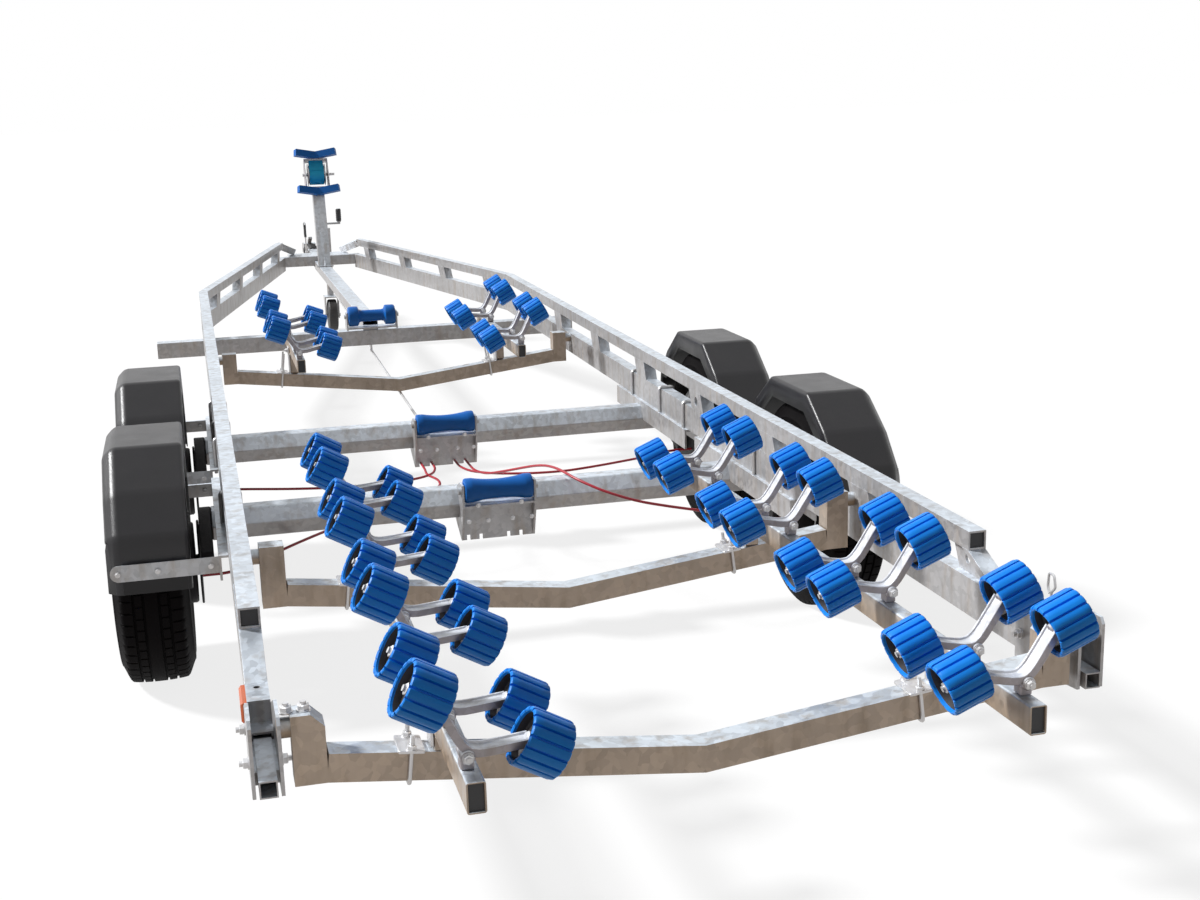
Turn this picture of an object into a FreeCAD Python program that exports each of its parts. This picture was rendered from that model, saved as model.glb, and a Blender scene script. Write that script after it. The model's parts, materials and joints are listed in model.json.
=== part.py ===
import FreeCAD, Part
import math
import os

from FreeCAD import Vector

# Twin-axle roller boat trailer.  Millimetres; +Y is forward (towards the tow coupling), +X right, +Z up.
# Lengths along the trailer are stations, measured forward from the rear ends of the bunk beams.

# ---- driving dimensions -------------------------------------------------------------------------
OVERALL_LENGTH = 8840.0        # rearmost roller to the coupling nose
MID_STATION = OVERALL_LENGTH / 2

RAIL_HALF_SPACING = 737.0      # centre of either side frame from the centre line
RAIL_TUBE = 40.0               # upper rail, square; the lower rail has the same width
RAIL_TOP = 603.0
LOWER_RAIL_BOTTOM = 425.0
LOWER_RAIL_HEIGHT = 80.0
TUBE_WALL = 4.0
RAIL_KINK = 5569.0             # station where the side frames turn inwards
LOWER_RAIL_REAR = 485.0
LOWER_RAIL_STEP = 45.0         # its upper half ends this far ahead of its lower half
UPPER_RAIL_REAR = 747.0
UPPER_PEAK = (245.0, 7811.0)   # half spacing and station where the upper rail turns down
UPPER_NOSE = (158.0, 8020.0, 546.0)
NOSE_TUBE_STATION = 7890.0     # cross tube that joins the lower rails
NOSE_TUBE = 60.0

# raked boxes between the rails: station of the first foot, pitch, count, width along the rail
STRAIGHT_SPACERS = (1222.0, 630.0, 7, 115.0)
NOSE_SPACERS = (5751.0, 607.0, 4, 85.0)
SPACER_RAKE = 30.0             # how far a spacer's top leans forward of its foot
HOLED_SPACER = 2               # the third one has a tie-down hole
SPACER_HOLE_R = 14.0
LASHING_PLATE_T = 6.0
LASHING_HOLE_R = 10.0
LASHING_STATION = 780.0

TYRE_RADIUS = 304.0
TYRE_WIDTH = 190.0
TREAD_WIDTH = 124.0
TRACK_HALF = 951.0
RIM_RADIUS = 165.0
TYRE_SIDES = 36
AXLE_STATIONS = (2247.0, 3170.0)
WHEEL_TRAIL = 150.0            # wheel centre behind its axle beam
AXLE_HEIGHT = 366.0
AXLE_FLATS = 86.0              # hexagonal beam across flats
AXLE_HALF_LENGTH = 790.0
AXLE_RAIL = (705.0, 780.0, 362.0)   # inner face, outer face and lower edge of the axle's mounting channel
AXLE_RAIL_RUN = (-532.0, 290.0)     # its rear and front ends from the axle
SUSPENSION_ARM_T = 34.0
BACK_PLATE_R = 112.0
BACK_PLATE_T = 6.0

CROSSBEAM_STATION = 5237.0
CROSSBEAM_TUBE = 70.0
CROSSBEAM_HALF = 960.0

# cradle beams: name, station, height of the beam axis at its ends and at the middle, height and corner
# cut of the end posts
CRADLE_BEAMS = (("rear", 336.0, 461.0, 387.0, 120.0, 22.0),
                ("middle", 1337.0, 436.0, 360.0, 140.0, 0.0),
                ("front", 4249.0, 417.0, 340.0, 120.0, 0.0))
CRADLE_TUBE = 50.0
CRADLE_HALF = 641.0            # to the inner face of the end post
END_POST_WIDTH = 54.0
PIVOT_TUBE_R = 17.0

BUNK_TUBE = (40.0, 60.0)
BUNK_WALL = 3.0
# bunks: name, side, distance from the centre line, rear end, front end, height of its under side at
# station 0, drop for each mm forward, yoke stations of the first four rollers, pitch, number of fours, tilt
BUNKS = (("left", -1, 452.0, 1.0, 1820.0, 488.0, 0.013, (58.0, 228.0), 510.0, 4, 29.5),
         ("right", 1, 452.0, 1.0, 1820.0, 488.0, 0.013, (58.0, 228.0), 510.0, 4, 22.5),
         ("front_left", -1, 418.0, 3900.0, 4700.0, 486.0, 0.0, (3990.0, 4610.0), 0.0, 1, 22.0),
         ("front_right", 1, 418.0, 3900.0, 4700.0, 486.0, 0.0, (3990.0, 4610.0), 0.0, 1, 29.0))

ROLLER_RADIUS = 57.0
ROLLER_LENGTH = 75.0
ROLLER_HALF_PITCH = 99.0       # roller centre from the yoke's middle
ROLLER_RIBS = 16
ROLLER_GROOVE = 3.0            # depth of the grooves between the ribs
ROLLER_RECESS_R = 46.0
ROLLER_RECESS = 24.0           # depth of the open end
STUB_RADIUS = 10.0
RUNNING_CLEARANCE = 0.05
YOKE_DEPTH = 34.0
YOKE_BAR = 16.0                # thickness of the bent bar
YOKE_DROP = 48.0               # pivot below the line of the rollers
PIVOT_RISE = 30.0              # pivot above the top of its bunk

KEEL_TUBE = (70.0, 50.0)       # keel beam, wide and high
KEEL_REAR = 5215.0

POST_TUBE = 70.0
POST_FOOT_STATION = 7560.0
POST_LEAN = 17.0               # degrees forward of upright
POST_LENGTH = 470.0
WINCH_HALF_WIDTH = 68.0
WINCH_HEIGHT = 178.0

JOCKEY_X, JOCKEY_STATION = 74.0, 8150.0
TONGUE_HALF = 32.0
JOCKEY_WHEEL_RADIUS = 100.0

COUPLING_HEIGHT = 470.0
BALL_STATION = 8775.0
BALL_RADIUS = 25.0

CABLE_RADIUS = 4.0
CABLE_BEND_SHARE = 0.45        # share of the shorter run that an arc may use up
SLOT_WIDTH, SLOT_TOP = 10.0, 280.0
CABLE_SLOTS = (-86.0, -50.0, 30.0, 66.0)

LIGHT_ARM_REAR = 300.0
LIGHT_ARM_HEIGHT = 442.0
LIGHT_ARM_TUBE = 30.0

SIDES = ((-1, "left"), (1, "right"))


# ---- helpers ------------------------------------------------------------------------------------
def save(name, *solids):
    """Write one node; stations become Y measured from the middle of the trailer."""
    shape = solids[0] if len(solids) == 1 else Part.makeCompound(list(solids))
    shape = shape.copy()
    shape.translate(Vector(0, -MID_STATION, 0))
    shape.exportStep("parts/" + name + ".step")


def box(x0, x1, y0, y1, z0, z1):
    return Part.makeBox(x1 - x0, y1 - y0, z1 - z0, Vector(x0, y0, z0))


def rod(start, end, radius):
    along = end - start
    return Part.makeCylinder(radius, along.Length, start, along)


def prism(points, plane, low, high):
    """Extrude a polygon drawn in the XY, XZ or YZ plane from low to high along the third axis."""
    place = {"XY": lambda a, b: Vector(a, b, low), "XZ": lambda a, b: Vector(a, low, b),
             "YZ": lambda a, b: Vector(low, a, b)}[plane]
    along = {"XY": Vector(0, 0, 1), "XZ": Vector(0, 1, 0), "YZ": Vector(1, 0, 0)}[plane]
    corners = [place(a, b) for a, b in points]
    face = Part.Face(Part.makePolygon(corners + corners[:1]))
    return face.extrude(along * (high - low))


def offset_path(path, half):
    """Mitred outline of a flat strip that follows a path of (a, b) points."""
    left, right = [], []
    for i, (a, b) in enumerate(path):
        turns = []
        for p, q in ((i - 1, i), (i, i + 1)):
            if p >= 0 and q < len(path):
                da, db = path[q][0] - path[p][0], path[q][1] - path[p][1]
                size = math.hypot(da, db)
                turns.append((-db / size, da / size))
        na, nb = sum(t[0] for t in turns), sum(t[1] for t in turns)
        size = math.hypot(na, nb)
        na, nb = na / size, nb / size
        reach = half / (na * turns[0][0] + nb * turns[0][1])
        left.append((a + na * reach, b + nb * reach))
        right.append((a - na * reach, b - nb * reach))
    return left + right[::-1]


def flat_tube(path, plane, half, low, high, wall=TUBE_WALL):
    """Open-ended box tube along a bent path that lies in one plane."""
    outer = prism(offset_path(path, half), plane, low, high)
    inner = prism(offset_path(path, half - wall), plane, low + wall, high - wall)
    return outer.cut(inner)


def beam(start, end, width, height, wall=0.0):
    """Straight tube (solid bar where wall is 0) from start to end; width stays level."""
    along = end - start
    turn = FreeCAD.Rotation(Vector(0, 0, 1), along)
    solid = Part.makeBox(width, height, along.Length, Vector(-width / 2, -height / 2, 0))
    if wall:
        solid = solid.cut(Part.makeBox(width - 2 * wall, height - 2 * wall, along.Length,
                                       Vector(wall - width / 2, wall - height / 2, 0)))
    solid.Placement = FreeCAD.Placement(start, turn)
    return solid


def ring_loft(sections, sides):
    """Faceted round form about the X axis from (x, radius) sections; a flat lies at the bottom."""
    rings = []
    for x, radius in sections:
        reach = radius / math.cos(math.pi / sides)
        corners = [Vector(x, reach * math.sin(2 * math.pi * (k + 0.5) / sides),
                          -reach * math.cos(2 * math.pi * (k + 0.5) / sides)) for k in range(sides)]
        rings.append(Part.makePolygon(corners + corners[:1]))
    return Part.makeLoft(rings, True, True)


def placed(shape, tilt, where):
    """Turn a shape about +Y through its own origin and move it to where."""
    shape = shape.copy()
    shape.Placement = FreeCAD.Placement(where, FreeCAD.Rotation(Vector(0, 1, 0), tilt))
    return shape


def rail_x(station):
    """Half spacing of the side frames at a station."""
    if station <= RAIL_KINK:
        return RAIL_HALF_SPACING
    share = (station - RAIL_KINK) / (UPPER_PEAK[1] - RAIL_KINK)
    return RAIL_HALF_SPACING + share * (UPPER_PEAK[0] - RAIL_HALF_SPACING)


# ---- side frames --------------------------------------------------------------------------------
def raked_box(foot, width):
    """Outline (station, height) of one spacer between the lower and the upper rail."""
    low, high = LOWER_RAIL_BOTTOM + LOWER_RAIL_HEIGHT, RAIL_TOP - RAIL_TUBE
    return [(foot, low), (foot + width, low), (foot + width + SPACER_RAKE, high), (foot + SPACER_RAKE, high)]


def side_frames():
    lower, upper, spacers = [], [], []
    lower_top = LOWER_RAIL_BOTTOM + LOWER_RAIL_HEIGHT
    upper_bottom = RAIL_TOP - RAIL_TUBE
    lower_front = NOSE_TUBE_STATION - NOSE_TUBE / 2
    half = RAIL_TUBE / 2
    ahead = box(-CROSSBEAM_HALF, CROSSBEAM_HALF, lower_front, OVERALL_LENGTH, LOWER_RAIL_BOTTOM, lower_top)
    for side, _ in SIDES:
        path = [(side * RAIL_HALF_SPACING, LOWER_RAIL_REAR), (side * RAIL_HALF_SPACING, RAIL_KINK),
                (side * rail_x(lower_front + RAIL_TUBE), lower_front + RAIL_TUBE)]
        x = side * RAIL_HALF_SPACING
        # the upper half of the rail ends a little earlier than the lower half, under a cap
        step_z, step_y = lower_top - LOWER_RAIL_HEIGHT / 2, LOWER_RAIL_REAR + LOWER_RAIL_STEP
        step = box(x - half, x + half, LOWER_RAIL_REAR, step_y, step_z, lower_top)
        cap = box(x - half, x + half, step_y, step_y + TUBE_WALL, step_z - TUBE_WALL, lower_top)
        shelf = box(x - half, x + half, LOWER_RAIL_REAR, step_y, step_z - TUBE_WALL, step_z)
        pin_hole = rod(Vector(x, LASHING_STATION - 185, lower_top - TUBE_WALL),
                       Vector(x, LASHING_STATION - 185, lower_top), 6.0)
        rail = flat_tube(path, "XY", half, LOWER_RAIL_BOTTOM, lower_top).cut([ahead, step, pin_hole])
        lower.append(rail.fuse([cap, shelf]))
        path = [(side * RAIL_HALF_SPACING, UPPER_RAIL_REAR), (side * RAIL_HALF_SPACING, RAIL_KINK),
                (side * UPPER_PEAK[0], UPPER_PEAK[1])]
        rail = flat_tube(path, "XY", half, upper_bottom, RAIL_TOP)
        nose = beam(Vector(side * UPPER_PEAK[0], UPPER_PEAK[1], RAIL_TOP - half),
                    Vector(side * UPPER_NOSE[0], UPPER_NOSE[1], UPPER_NOSE[2] - half), RAIL_TUBE, RAIL_TUBE)
        above = box(-RAIL_HALF_SPACING, RAIL_HALF_SPACING, RAIL_KINK, OVERALL_LENGTH, RAIL_TOP, RAIL_TOP + RAIL_TUBE)
        upper.append(rail.fuse(nose).cut([ahead, above]))

        first, pitch, count, width = STRAIGHT_SPACERS
        for k in range(count):
            foot = first + pitch * k
            spacer = prism(raked_box(foot, width), "YZ", x - half, x + half)
            if k == HOLED_SPACER:
                middle = Vector(x - half, foot + (width + SPACER_RAKE) / 2, (lower_top + upper_bottom) / 2)
                spacer = spacer.cut(rod(middle, middle + Vector(RAIL_TUBE, 0, 0), SPACER_HOLE_R))
            spacers.append(spacer)
        first, pitch, count, width = NOSE_SPACERS
        heading = math.degrees(math.atan2(RAIL_HALF_SPACING - UPPER_PEAK[0], UPPER_PEAK[1] - RAIL_KINK))
        for k in range(count):
            foot = first + pitch * k
            spacer = prism(raked_box(0, width), "YZ", -half, half)
            spacer.rotate(Vector(0, 0, 0), Vector(0, 0, 1), side * heading)
            spacer.translate(Vector(side * rail_x(foot), foot, 0))
            spacers.append(spacer)

        # raked end strut, and the lashing plate that closes the bay in front of it
        strut_foot, strut_width, plate_width = LOWER_RAIL_REAR + 130, 45, 155
        plate_foot = strut_foot + strut_width
        strut = [(strut_foot, lower_top), (plate_foot, lower_top), (UPPER_RAIL_REAR + 30, upper_bottom),
                 (UPPER_RAIL_REAR, upper_bottom)]
        strut = prism(strut, "YZ", x - half, x + half)
        plate = [(plate_foot, lower_top), (plate_foot + plate_width, lower_top),
                 (plate_foot + plate_width + SPACER_RAKE, upper_bottom), (UPPER_RAIL_REAR + 30, upper_bottom)]
        plate = prism(plate, "YZ", x - LASHING_PLATE_T / 2, x + LASHING_PLATE_T / 2)
        hole = Vector(x - half, LASHING_STATION, (lower_top + upper_bottom) / 2)
        plate = plate.cut(rod(hole, hole + Vector(RAIL_TUBE, 0, 0), LASHING_HOLE_R))
        spacers.append(strut.fuse(plate))
    save("lower_rails", *lower)
    save("upper_rails", *upper)
    save("frame_spacers", *spacers)


# ---- cross members ------------------------------------------------------------------------------
def cross_members():
    half = CROSSBEAM_TUBE / 2
    level = LOWER_RAIL_BOTTOM - half
    crossbeam = flat_tube([(-CROSSBEAM_HALF, level), (CROSSBEAM_HALF, level)], "XZ", half,
                          CROSSBEAM_STATION - half, CROSSBEAM_STATION + half)
    reach = rail_x(NOSE_TUBE_STATION) + RAIL_TUBE / 2
    top = LOWER_RAIL_BOTTOM + LOWER_RAIL_HEIGHT
    nose = box(-reach, reach, NOSE_TUBE_STATION - NOSE_TUBE / 2, NOSE_TUBE_STATION + NOSE_TUBE / 2,
               top - NOSE_TUBE, top)
    bed_half, bed_front, bed_t = 185, 8080, 10
    bed = box(-bed_half, bed_half, NOSE_TUBE_STATION + NOSE_TUBE / 2, bed_front, top - bed_t, top)
    save("cross_tubes", crossbeam, nose.fuse(bed))

    keel_axis = LOWER_RAIL_BOTTOM + KEEL_TUBE[1] / 2
    keel = flat_tube([(KEEL_REAR, keel_axis), (NOSE_TUBE_STATION - NOSE_TUBE / 2, keel_axis)],
                     "YZ", KEEL_TUBE[1] / 2, -KEEL_TUBE[0] / 2, KEEL_TUBE[0] / 2)
    save("keel_beam", keel)


def cradle_top(end_z, mid_z, x):
    """Height of a cradle beam's upper face at a distance x from the centre line."""
    rise = (end_z - mid_z) / CRADLE_HALF
    return mid_z + rise * x + CRADLE_TUBE / 2 * math.hypot(1, rise)


def cradle_beams():
    beams = []
    half = CRADLE_TUBE / 2
    rail_face = RAIL_HALF_SPACING - RAIL_TUBE / 2
    for _, station, end_z, mid_z, post_height, cut in CRADLE_BEAMS:
        path = [(-CRADLE_HALF, end_z), (0, mid_z), (CRADLE_HALF, end_z)]
        cradle = flat_tube(path, "XZ", half, station - half, station + half)
        for side, _ in SIDES:
            inner, outer = CRADLE_HALF, CRADLE_HALF + END_POST_WIDTH
            low, high = end_z - half, end_z - half + post_height
            outline = [(side * inner, low), (side * outer, low), (side * outer, high), (side * (inner + cut), high)]
            if cut:
                outline.append((side * inner, high - cut))
            post = prism(outline, "XZ", station - half, station + half)
            pivot_z = high - PIVOT_TUBE_R - 9
            pivot = rod(Vector(side * outer, station, pivot_z), Vector(side * rail_face, station, pivot_z),
                        PIVOT_TUBE_R)
            cradle = cradle.fuse([post, pivot])
        beams.append(cradle)
    save("cradle_beams", *beams)


# ---- bunks, yokes and rollers -------------------------------------------------------------------
def yoke():
    """One roller yoke about its pivot: a bar bent into a wide U, with a stub axle at either tip."""
    tip_x, tip_z, bend_x, bend_z = 78.0, 46.0, 24.0, 8.0
    half = YOKE_BAR / 2
    up = half * math.hypot(1, (tip_z - bend_z) / (tip_x - bend_x))
    upper = [Vector(x, 0, z + up) for x, z in ((-tip_x, tip_z), (-bend_x, bend_z), (bend_x, bend_z), (tip_x, tip_z))]
    lower = [Vector(x, 0, z - up) for x, z in ((tip_x, tip_z), (bend_x, bend_z), (-bend_x, bend_z), (-tip_x, tip_z))]
    edges = []
    for line, middle in ((upper, Vector(0, 0, half)), (lower, Vector(0, 0, -half))):
        edges.append(Part.LineSegment(line[0], line[1]).toShape())
        edges.append(Part.Arc(line[1], middle, line[2]).toShape())
        edges.append(Part.LineSegment(line[2], line[3]).toShape())
    edges.insert(3, Part.LineSegment(upper[3], lower[0]).toShape())
    edges.append(Part.LineSegment(lower[3], upper[0]).toShape())
    body = Part.Face(Part.Wire(edges)).extrude(Vector(0, YOKE_DEPTH, 0))
    body.translate(Vector(0, -YOKE_DEPTH / 2, 0))
    boss_r, boss_half, nut_r, nut_t = 15.0, 25.0, 16.0, 8.0
    body = body.fuse(rod(Vector(0, -boss_half, -half), Vector(0, boss_half, -half), boss_r))
    web_out = ROLLER_HALF_PITCH + ROLLER_LENGTH / 2 - ROLLER_RECESS
    for side, _ in SIDES:
        stub = rod(Vector(side * (tip_x - half), 0, YOKE_DROP), Vector(side * (web_out + nut_t), 0, YOKE_DROP),
                   STUB_RADIUS)
        washer = rod(Vector(side * (web_out + 0.5), 0, YOKE_DROP), Vector(side * (web_out + 4), 0, YOKE_DROP), nut_r)
        body = body.fuse([stub, washer])
    return body


def roller_pair():
    """The two ribbed rollers of one yoke, about the yoke's pivot."""
    half = ROLLER_LENGTH / 2
    profile = []
    for k in range(ROLLER_RIBS):
        for share, radius in ((0.0, ROLLER_RADIUS - ROLLER_GROOVE), (0.14, ROLLER_RADIUS), (0.86, ROLLER_RADIUS)):
            turn = 2 * math.pi * (k + share) / ROLLER_RIBS
            profile.append((radius * math.cos(turn), radius * math.sin(turn)))
    shell = prism(profile, "YZ", -half, half)
    for end in (-half, half - ROLLER_RECESS):
        shell = shell.cut(rod(Vector(end, 0, 0), Vector(end + ROLLER_RECESS, 0, 0), ROLLER_RECESS_R))
    shell = shell.cut(rod(Vector(-half, 0, 0), Vector(half, 0, 0), STUB_RADIUS + RUNNING_CLEARANCE))
    rollers = []
    for side, _ in SIDES:
        roller = shell.copy()
        roller.translate(Vector(side * ROLLER_HALF_PITCH, 0, YOKE_DROP))
        rollers.append(roller)
    return Part.makeCompound(rollers)


def bunks_and_rollers():
    yokes, bunks, one_yoke, one_pair = [], [], yoke(), roller_pair()
    width, height = BUNK_TUBE
    stem_half_x, stem_half_y = 14.0, 12.0
    for name, side, centre, rear, front, bottom, drop, stations, pitch, fours, tilt in BUNKS:
        x = side * centre
        ends = [(rear, bottom + height / 2 - drop * rear), (front, bottom + height / 2 - drop * front)]
        low_x, high_x = x - width / 2, x + width / 2
        bunks.append(flat_tube(ends, "YZ", height / 2, low_x, high_x, BUNK_WALL))
        for _, station, end_z, mid_z, _, _ in CRADLE_BEAMS:
            if not rear < station < front:
                continue
            half = CRADLE_TUBE / 2
            block = [(low_x, cradle_top(end_z, mid_z, abs(low_x))), (high_x, cradle_top(end_z, mid_z, abs(high_x))),
                     (high_x, bottom + height / 2), (low_x, bottom + height / 2)]
            packer = prism(block, "XZ", station - half, station + half)
            bunks.append(packer.cut(prism(offset_path(ends, height / 2), "YZ", low_x, high_x)))
        count = 0
        for four in range(fours):
            for station in stations:
                count += 1
                y = station + four * pitch
                bunk_top = bottom + height - drop * y
                pivot = Vector(x, y, bunk_top + PIVOT_RISE)
                stem = box(x - stem_half_x, x + stem_half_x, y - stem_half_y, y + stem_half_y,
                           bunk_top - 1, pivot.z - YOKE_BAR)
                turned = placed(one_yoke, -side * tilt, pivot).fuse(stem)
                yokes.append(turned.cut(prism(offset_path(ends, height / 2), "YZ", low_x, high_x)))
                save("%s_rollers_%d" % (name, count), placed(one_pair, -side * tilt, pivot))
    save("roller_yokes", *yokes)
    save("bunk_beams", *bunks)


# ---- running gear -------------------------------------------------------------------------------
def hexagon_prism(axle):
    """The six-sided axle beam at a station."""
    flats = AXLE_FLATS / 2
    near, far = flats * 0.62, flats * 1.15
    hexagon = [(near, flats), (far, 0), (near, -flats), (-near, -flats), (-far, 0), (-near, flats)]
    outline = [(axle + y, AXLE_HEIGHT + z) for y, z in hexagon]
    return prism(outline, "YZ", -AXLE_HALF_LENGTH, AXLE_HALF_LENGTH)


def running_gear():
    beams, rails, arms = [], [], []
    inner_x, outer_x, low = AXLE_RAIL
    wall = TUBE_WALL + 2
    for axle in AXLE_STATIONS:
        beam_solid = hexagon_prism(axle)
        beams.append(beam_solid)
        wheel = axle - WHEEL_TRAIL
        rear, front = axle + AXLE_RAIL_RUN[0], axle + AXLE_RAIL_RUN[1]
        for side, _ in SIDES:
            x0, x1 = sorted((side * inner_x, side * outer_x))
            channel = box(x0, x1, rear, front, low, LOWER_RAIL_BOTTOM)
            channel = channel.cut(box(x0 + wall, x1 - wall, rear, front, low, LOWER_RAIL_BOTTOM - wall))
            rails.append(channel.cut(beam_solid))

            inner, outer = side * AXLE_HALF_LENGTH, side * (AXLE_HALF_LENGTH + SUSPENSION_ARM_T)
            lever = [(axle + 42, AXLE_HEIGHT), (axle + 20, AXLE_HEIGHT - 44), (wheel - 25, TYRE_RADIUS - 30),
                     (wheel - 35, TYRE_RADIUS), (wheel - 25, TYRE_RADIUS + 30), (axle - 20, AXLE_HEIGHT + 44),
                     (axle + 20, AXLE_HEIGHT + 44)]
            lever = prism(lever, "YZ", min(inner, outer), max(inner, outer))
            plate = rod(Vector(outer, wheel, TYRE_RADIUS), Vector(outer + side * BACK_PLATE_T, wheel, TYRE_RADIUS),
                        BACK_PLATE_R)
            stub = rod(Vector(inner, wheel, TYRE_RADIUS), Vector(side * (TRACK_HALF + 30), wheel, TYRE_RADIUS), 20.0)
            arms.append(lever.fuse([plate, stub]))
    save("axle_beams", *beams)
    save("axle_rails", *rails)
    save("suspension_arms", *arms)


def wheels():
    half, tread = TYRE_WIDTH / 2, TREAD_WIDTH / 2
    # tyre sections: distance from the middle plane, radius
    side_wall = [(tread, TYRE_RADIUS), (tread + 12, TYRE_RADIUS - 10), (half - 15, TYRE_RADIUS - 38),
                 (half - 2, TYRE_RADIUS - 54), (half, 225), (half - 12, 184)]
    tyre = ring_loft([(-x, r) for x, r in reversed(side_wall)] + side_wall, TYRE_SIDES)
    tyre = tyre.cut(ring_loft([(-half, RIM_RADIUS), (half, RIM_RADIUS)], TYRE_SIDES))
    well = RIM_RADIUS - 8
    rim = ring_loft([(-half + 12, RIM_RADIUS), (half - 12, RIM_RADIUS)], TYRE_SIDES)
    rim = rim.cut(ring_loft([(-half, well), (half, well)], TYRE_SIDES))
    disc = ring_loft([(20, well), (30, well)], TYRE_SIDES)
    drum_inner = AXLE_HALF_LENGTH + SUSPENSION_ARM_T + BACK_PLATE_T + 8 - TRACK_HALF
    drum = ring_loft([(drum_inner, 108), (20, 108)], 24)
    hub = ring_loft([(20, 55), (62, 32)], 12)
    bore = rod(Vector(drum_inner - 5, 0, 0), Vector(40, 0, 0), 20.0 + RUNNING_CLEARANCE)
    rim = rim.fuse([disc, drum, hub]).cut(bore)
    for end, axle in zip(("rear", "front"), AXLE_STATIONS):
        for side, label in SIDES:
            where = Vector(side * TRACK_HALF, axle - WHEEL_TRAIL, TYRE_RADIUS)
            for name, shape in (("tyre", tyre), ("rim", rim)):
                piece = shape.copy()
                if side < 0:
                    piece.rotate(Vector(0, 0, 0), Vector(0, 0, 1), 180)
                piece.translate(where)
                save("%s_%s_%s" % (end, label, name), piece)


def mudguards():
    guards, stays = [], []
    thick, lip, chamfer = 4.0, 58.0, 26.0
    inner_half, outer_half = 105.0, 94.0
    # outline over the wheel: distance forward of the wheel centre, height
    outline = [(-377, 345), (-350, 483), (-267, 575), (-140, 662), (140, 662), (267, 575), (350, 483), (377, 345)]
    low_edge, opening = 347, 330

    def moved_in(wheel, depth):
        """The guard's outline, moved inwards by depth, about a wheel station."""
        return [(wheel + a, b) for a, b in offset_path(outline, depth)[len(outline):][::-1]]

    def hood(wheel, centre, side, depth):
        """Solid hood, bevelled along its outer edge and shrunk all round by depth."""
        inside, outside = centre - side * (inner_half - depth), centre + side * (outer_half - depth)
        bevel = outside - side * chamfer
        big, small = moved_in(wheel, depth), moved_in(wheel, depth + chamfer)
        rings = [Part.makePolygon([Vector(x, a, b) for a, b in ring + ring[:1]])
                 for x, ring in ((bevel, big), (outside, small))]
        return prism(big, "YZ", min(inside, bevel), max(inside, bevel)).fuse(Part.makeLoft(rings, True, True))

    bar_half, bar_t = 20.0, 6.0
    (foot_a, foot_z), (knee_a, knee_z) = outline[-1], outline[-2]
    for axle in AXLE_STATIONS:
        wheel = axle - WHEEL_TRAIL
        for side, _ in SIDES:
            x = side * TRACK_HALF
            shell = hood(wheel, x, side, 0.0).cut(hood(wheel, x, side, thick))
            arch = moved_in(wheel, lip) + [(wheel + opening, low_edge - 50), (wheel - opening, low_edge - 50)]
            arch = prism(arch, "YZ", x - inner_half, x + inner_half)
            ends = box(x - inner_half, x + inner_half, wheel - foot_a, wheel + foot_a, low_edge - 100, low_edge)
            legs = box(x - inner_half, x + inner_half, wheel - opening, wheel + opening, low_edge - 50, 470)
            guards.append(shell.cut(arch).cut(ends).cut(legs))

            # flat bars behind and in front of the wheel, flush with the sloping ends of the guard
            tip = side * (TRACK_HALF + 66)
            lean = math.atan2(foot_a - knee_a, knee_z - foot_z)
            for way, z in ((-1, 399.0), (1, 407.0)):
                normal = Vector(0, way * math.cos(lean), math.sin(lean))
                along = Vector(0, -way * math.sin(lean), math.cos(lean))
                face = Vector(tip, wheel + way * (foot_a - (z - foot_z) * math.tan(lean)), z)
                corners = [face + along * bar_half, face + along * bar_half + normal * bar_t,
                           face - along * bar_half + normal * bar_t, face - along * bar_half]
                low, high = sorted((side * AXLE_RAIL[1], tip))
                bar = prism([(c.y, c.z) for c in corners], "YZ", low, high)
                stays.append(bar.fuse(rod(face, face + normal * bar_t, bar_half)))
    save("mudguards", *guards)
    save("mudguard_stays", *stays)


# ---- keel rollers -------------------------------------------------------------------------------
def waisted_roller(half, end_r, waist_r):
    """Turned keel roller about the X axis, its middle drawn in along an arc."""
    land, bevel = 22, 5
    low, left = Vector(-half, 0, 0), Vector(-half, 0, end_r - bevel)
    edges = [Part.LineSegment(low, left).toShape(),
             Part.LineSegment(left, Vector(bevel - half, 0, end_r)).toShape(),
             Part.LineSegment(Vector(bevel - half, 0, end_r), Vector(land - half, 0, end_r)).toShape(),
             Part.Arc(Vector(land - half, 0, end_r), Vector(0, 0, waist_r), Vector(half - land, 0, end_r)).toShape(),
             Part.LineSegment(Vector(half - land, 0, end_r), Vector(half - bevel, 0, end_r)).toShape(),
             Part.LineSegment(Vector(half - bevel, 0, end_r), Vector(half, 0, end_r - bevel)).toShape(),
             Part.LineSegment(Vector(half, 0, end_r - bevel), Vector(half, 0, 0)).toShape(),
             Part.LineSegment(Vector(half, 0, 0), low).toShape()]
    return Part.Face(Part.Wire(edges)).revolve(Vector(0, 0, 0), Vector(1, 0, 0), 360)


def dumbbell_roller(half, end_r, waist_r):
    """Keel roller made of a slim middle between two wide end wheels."""
    wheel_w, flare, bevel = 46, 8, 6
    return ring_loft([(-half, end_r - bevel), (-half + bevel, end_r), (-half + wheel_w - bevel, end_r),
                      (-half + wheel_w, end_r - bevel), (-half + wheel_w + 1, waist_r + flare),
                      (-half + wheel_w + 14, waist_r), (half - wheel_w - 14, waist_r),
                      (half - wheel_w - 1, waist_r + flare), (half - wheel_w, end_r - bevel),
                      (half - wheel_w + bevel, end_r), (half - bevel, end_r), (half, end_r - bevel)], 24)


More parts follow.
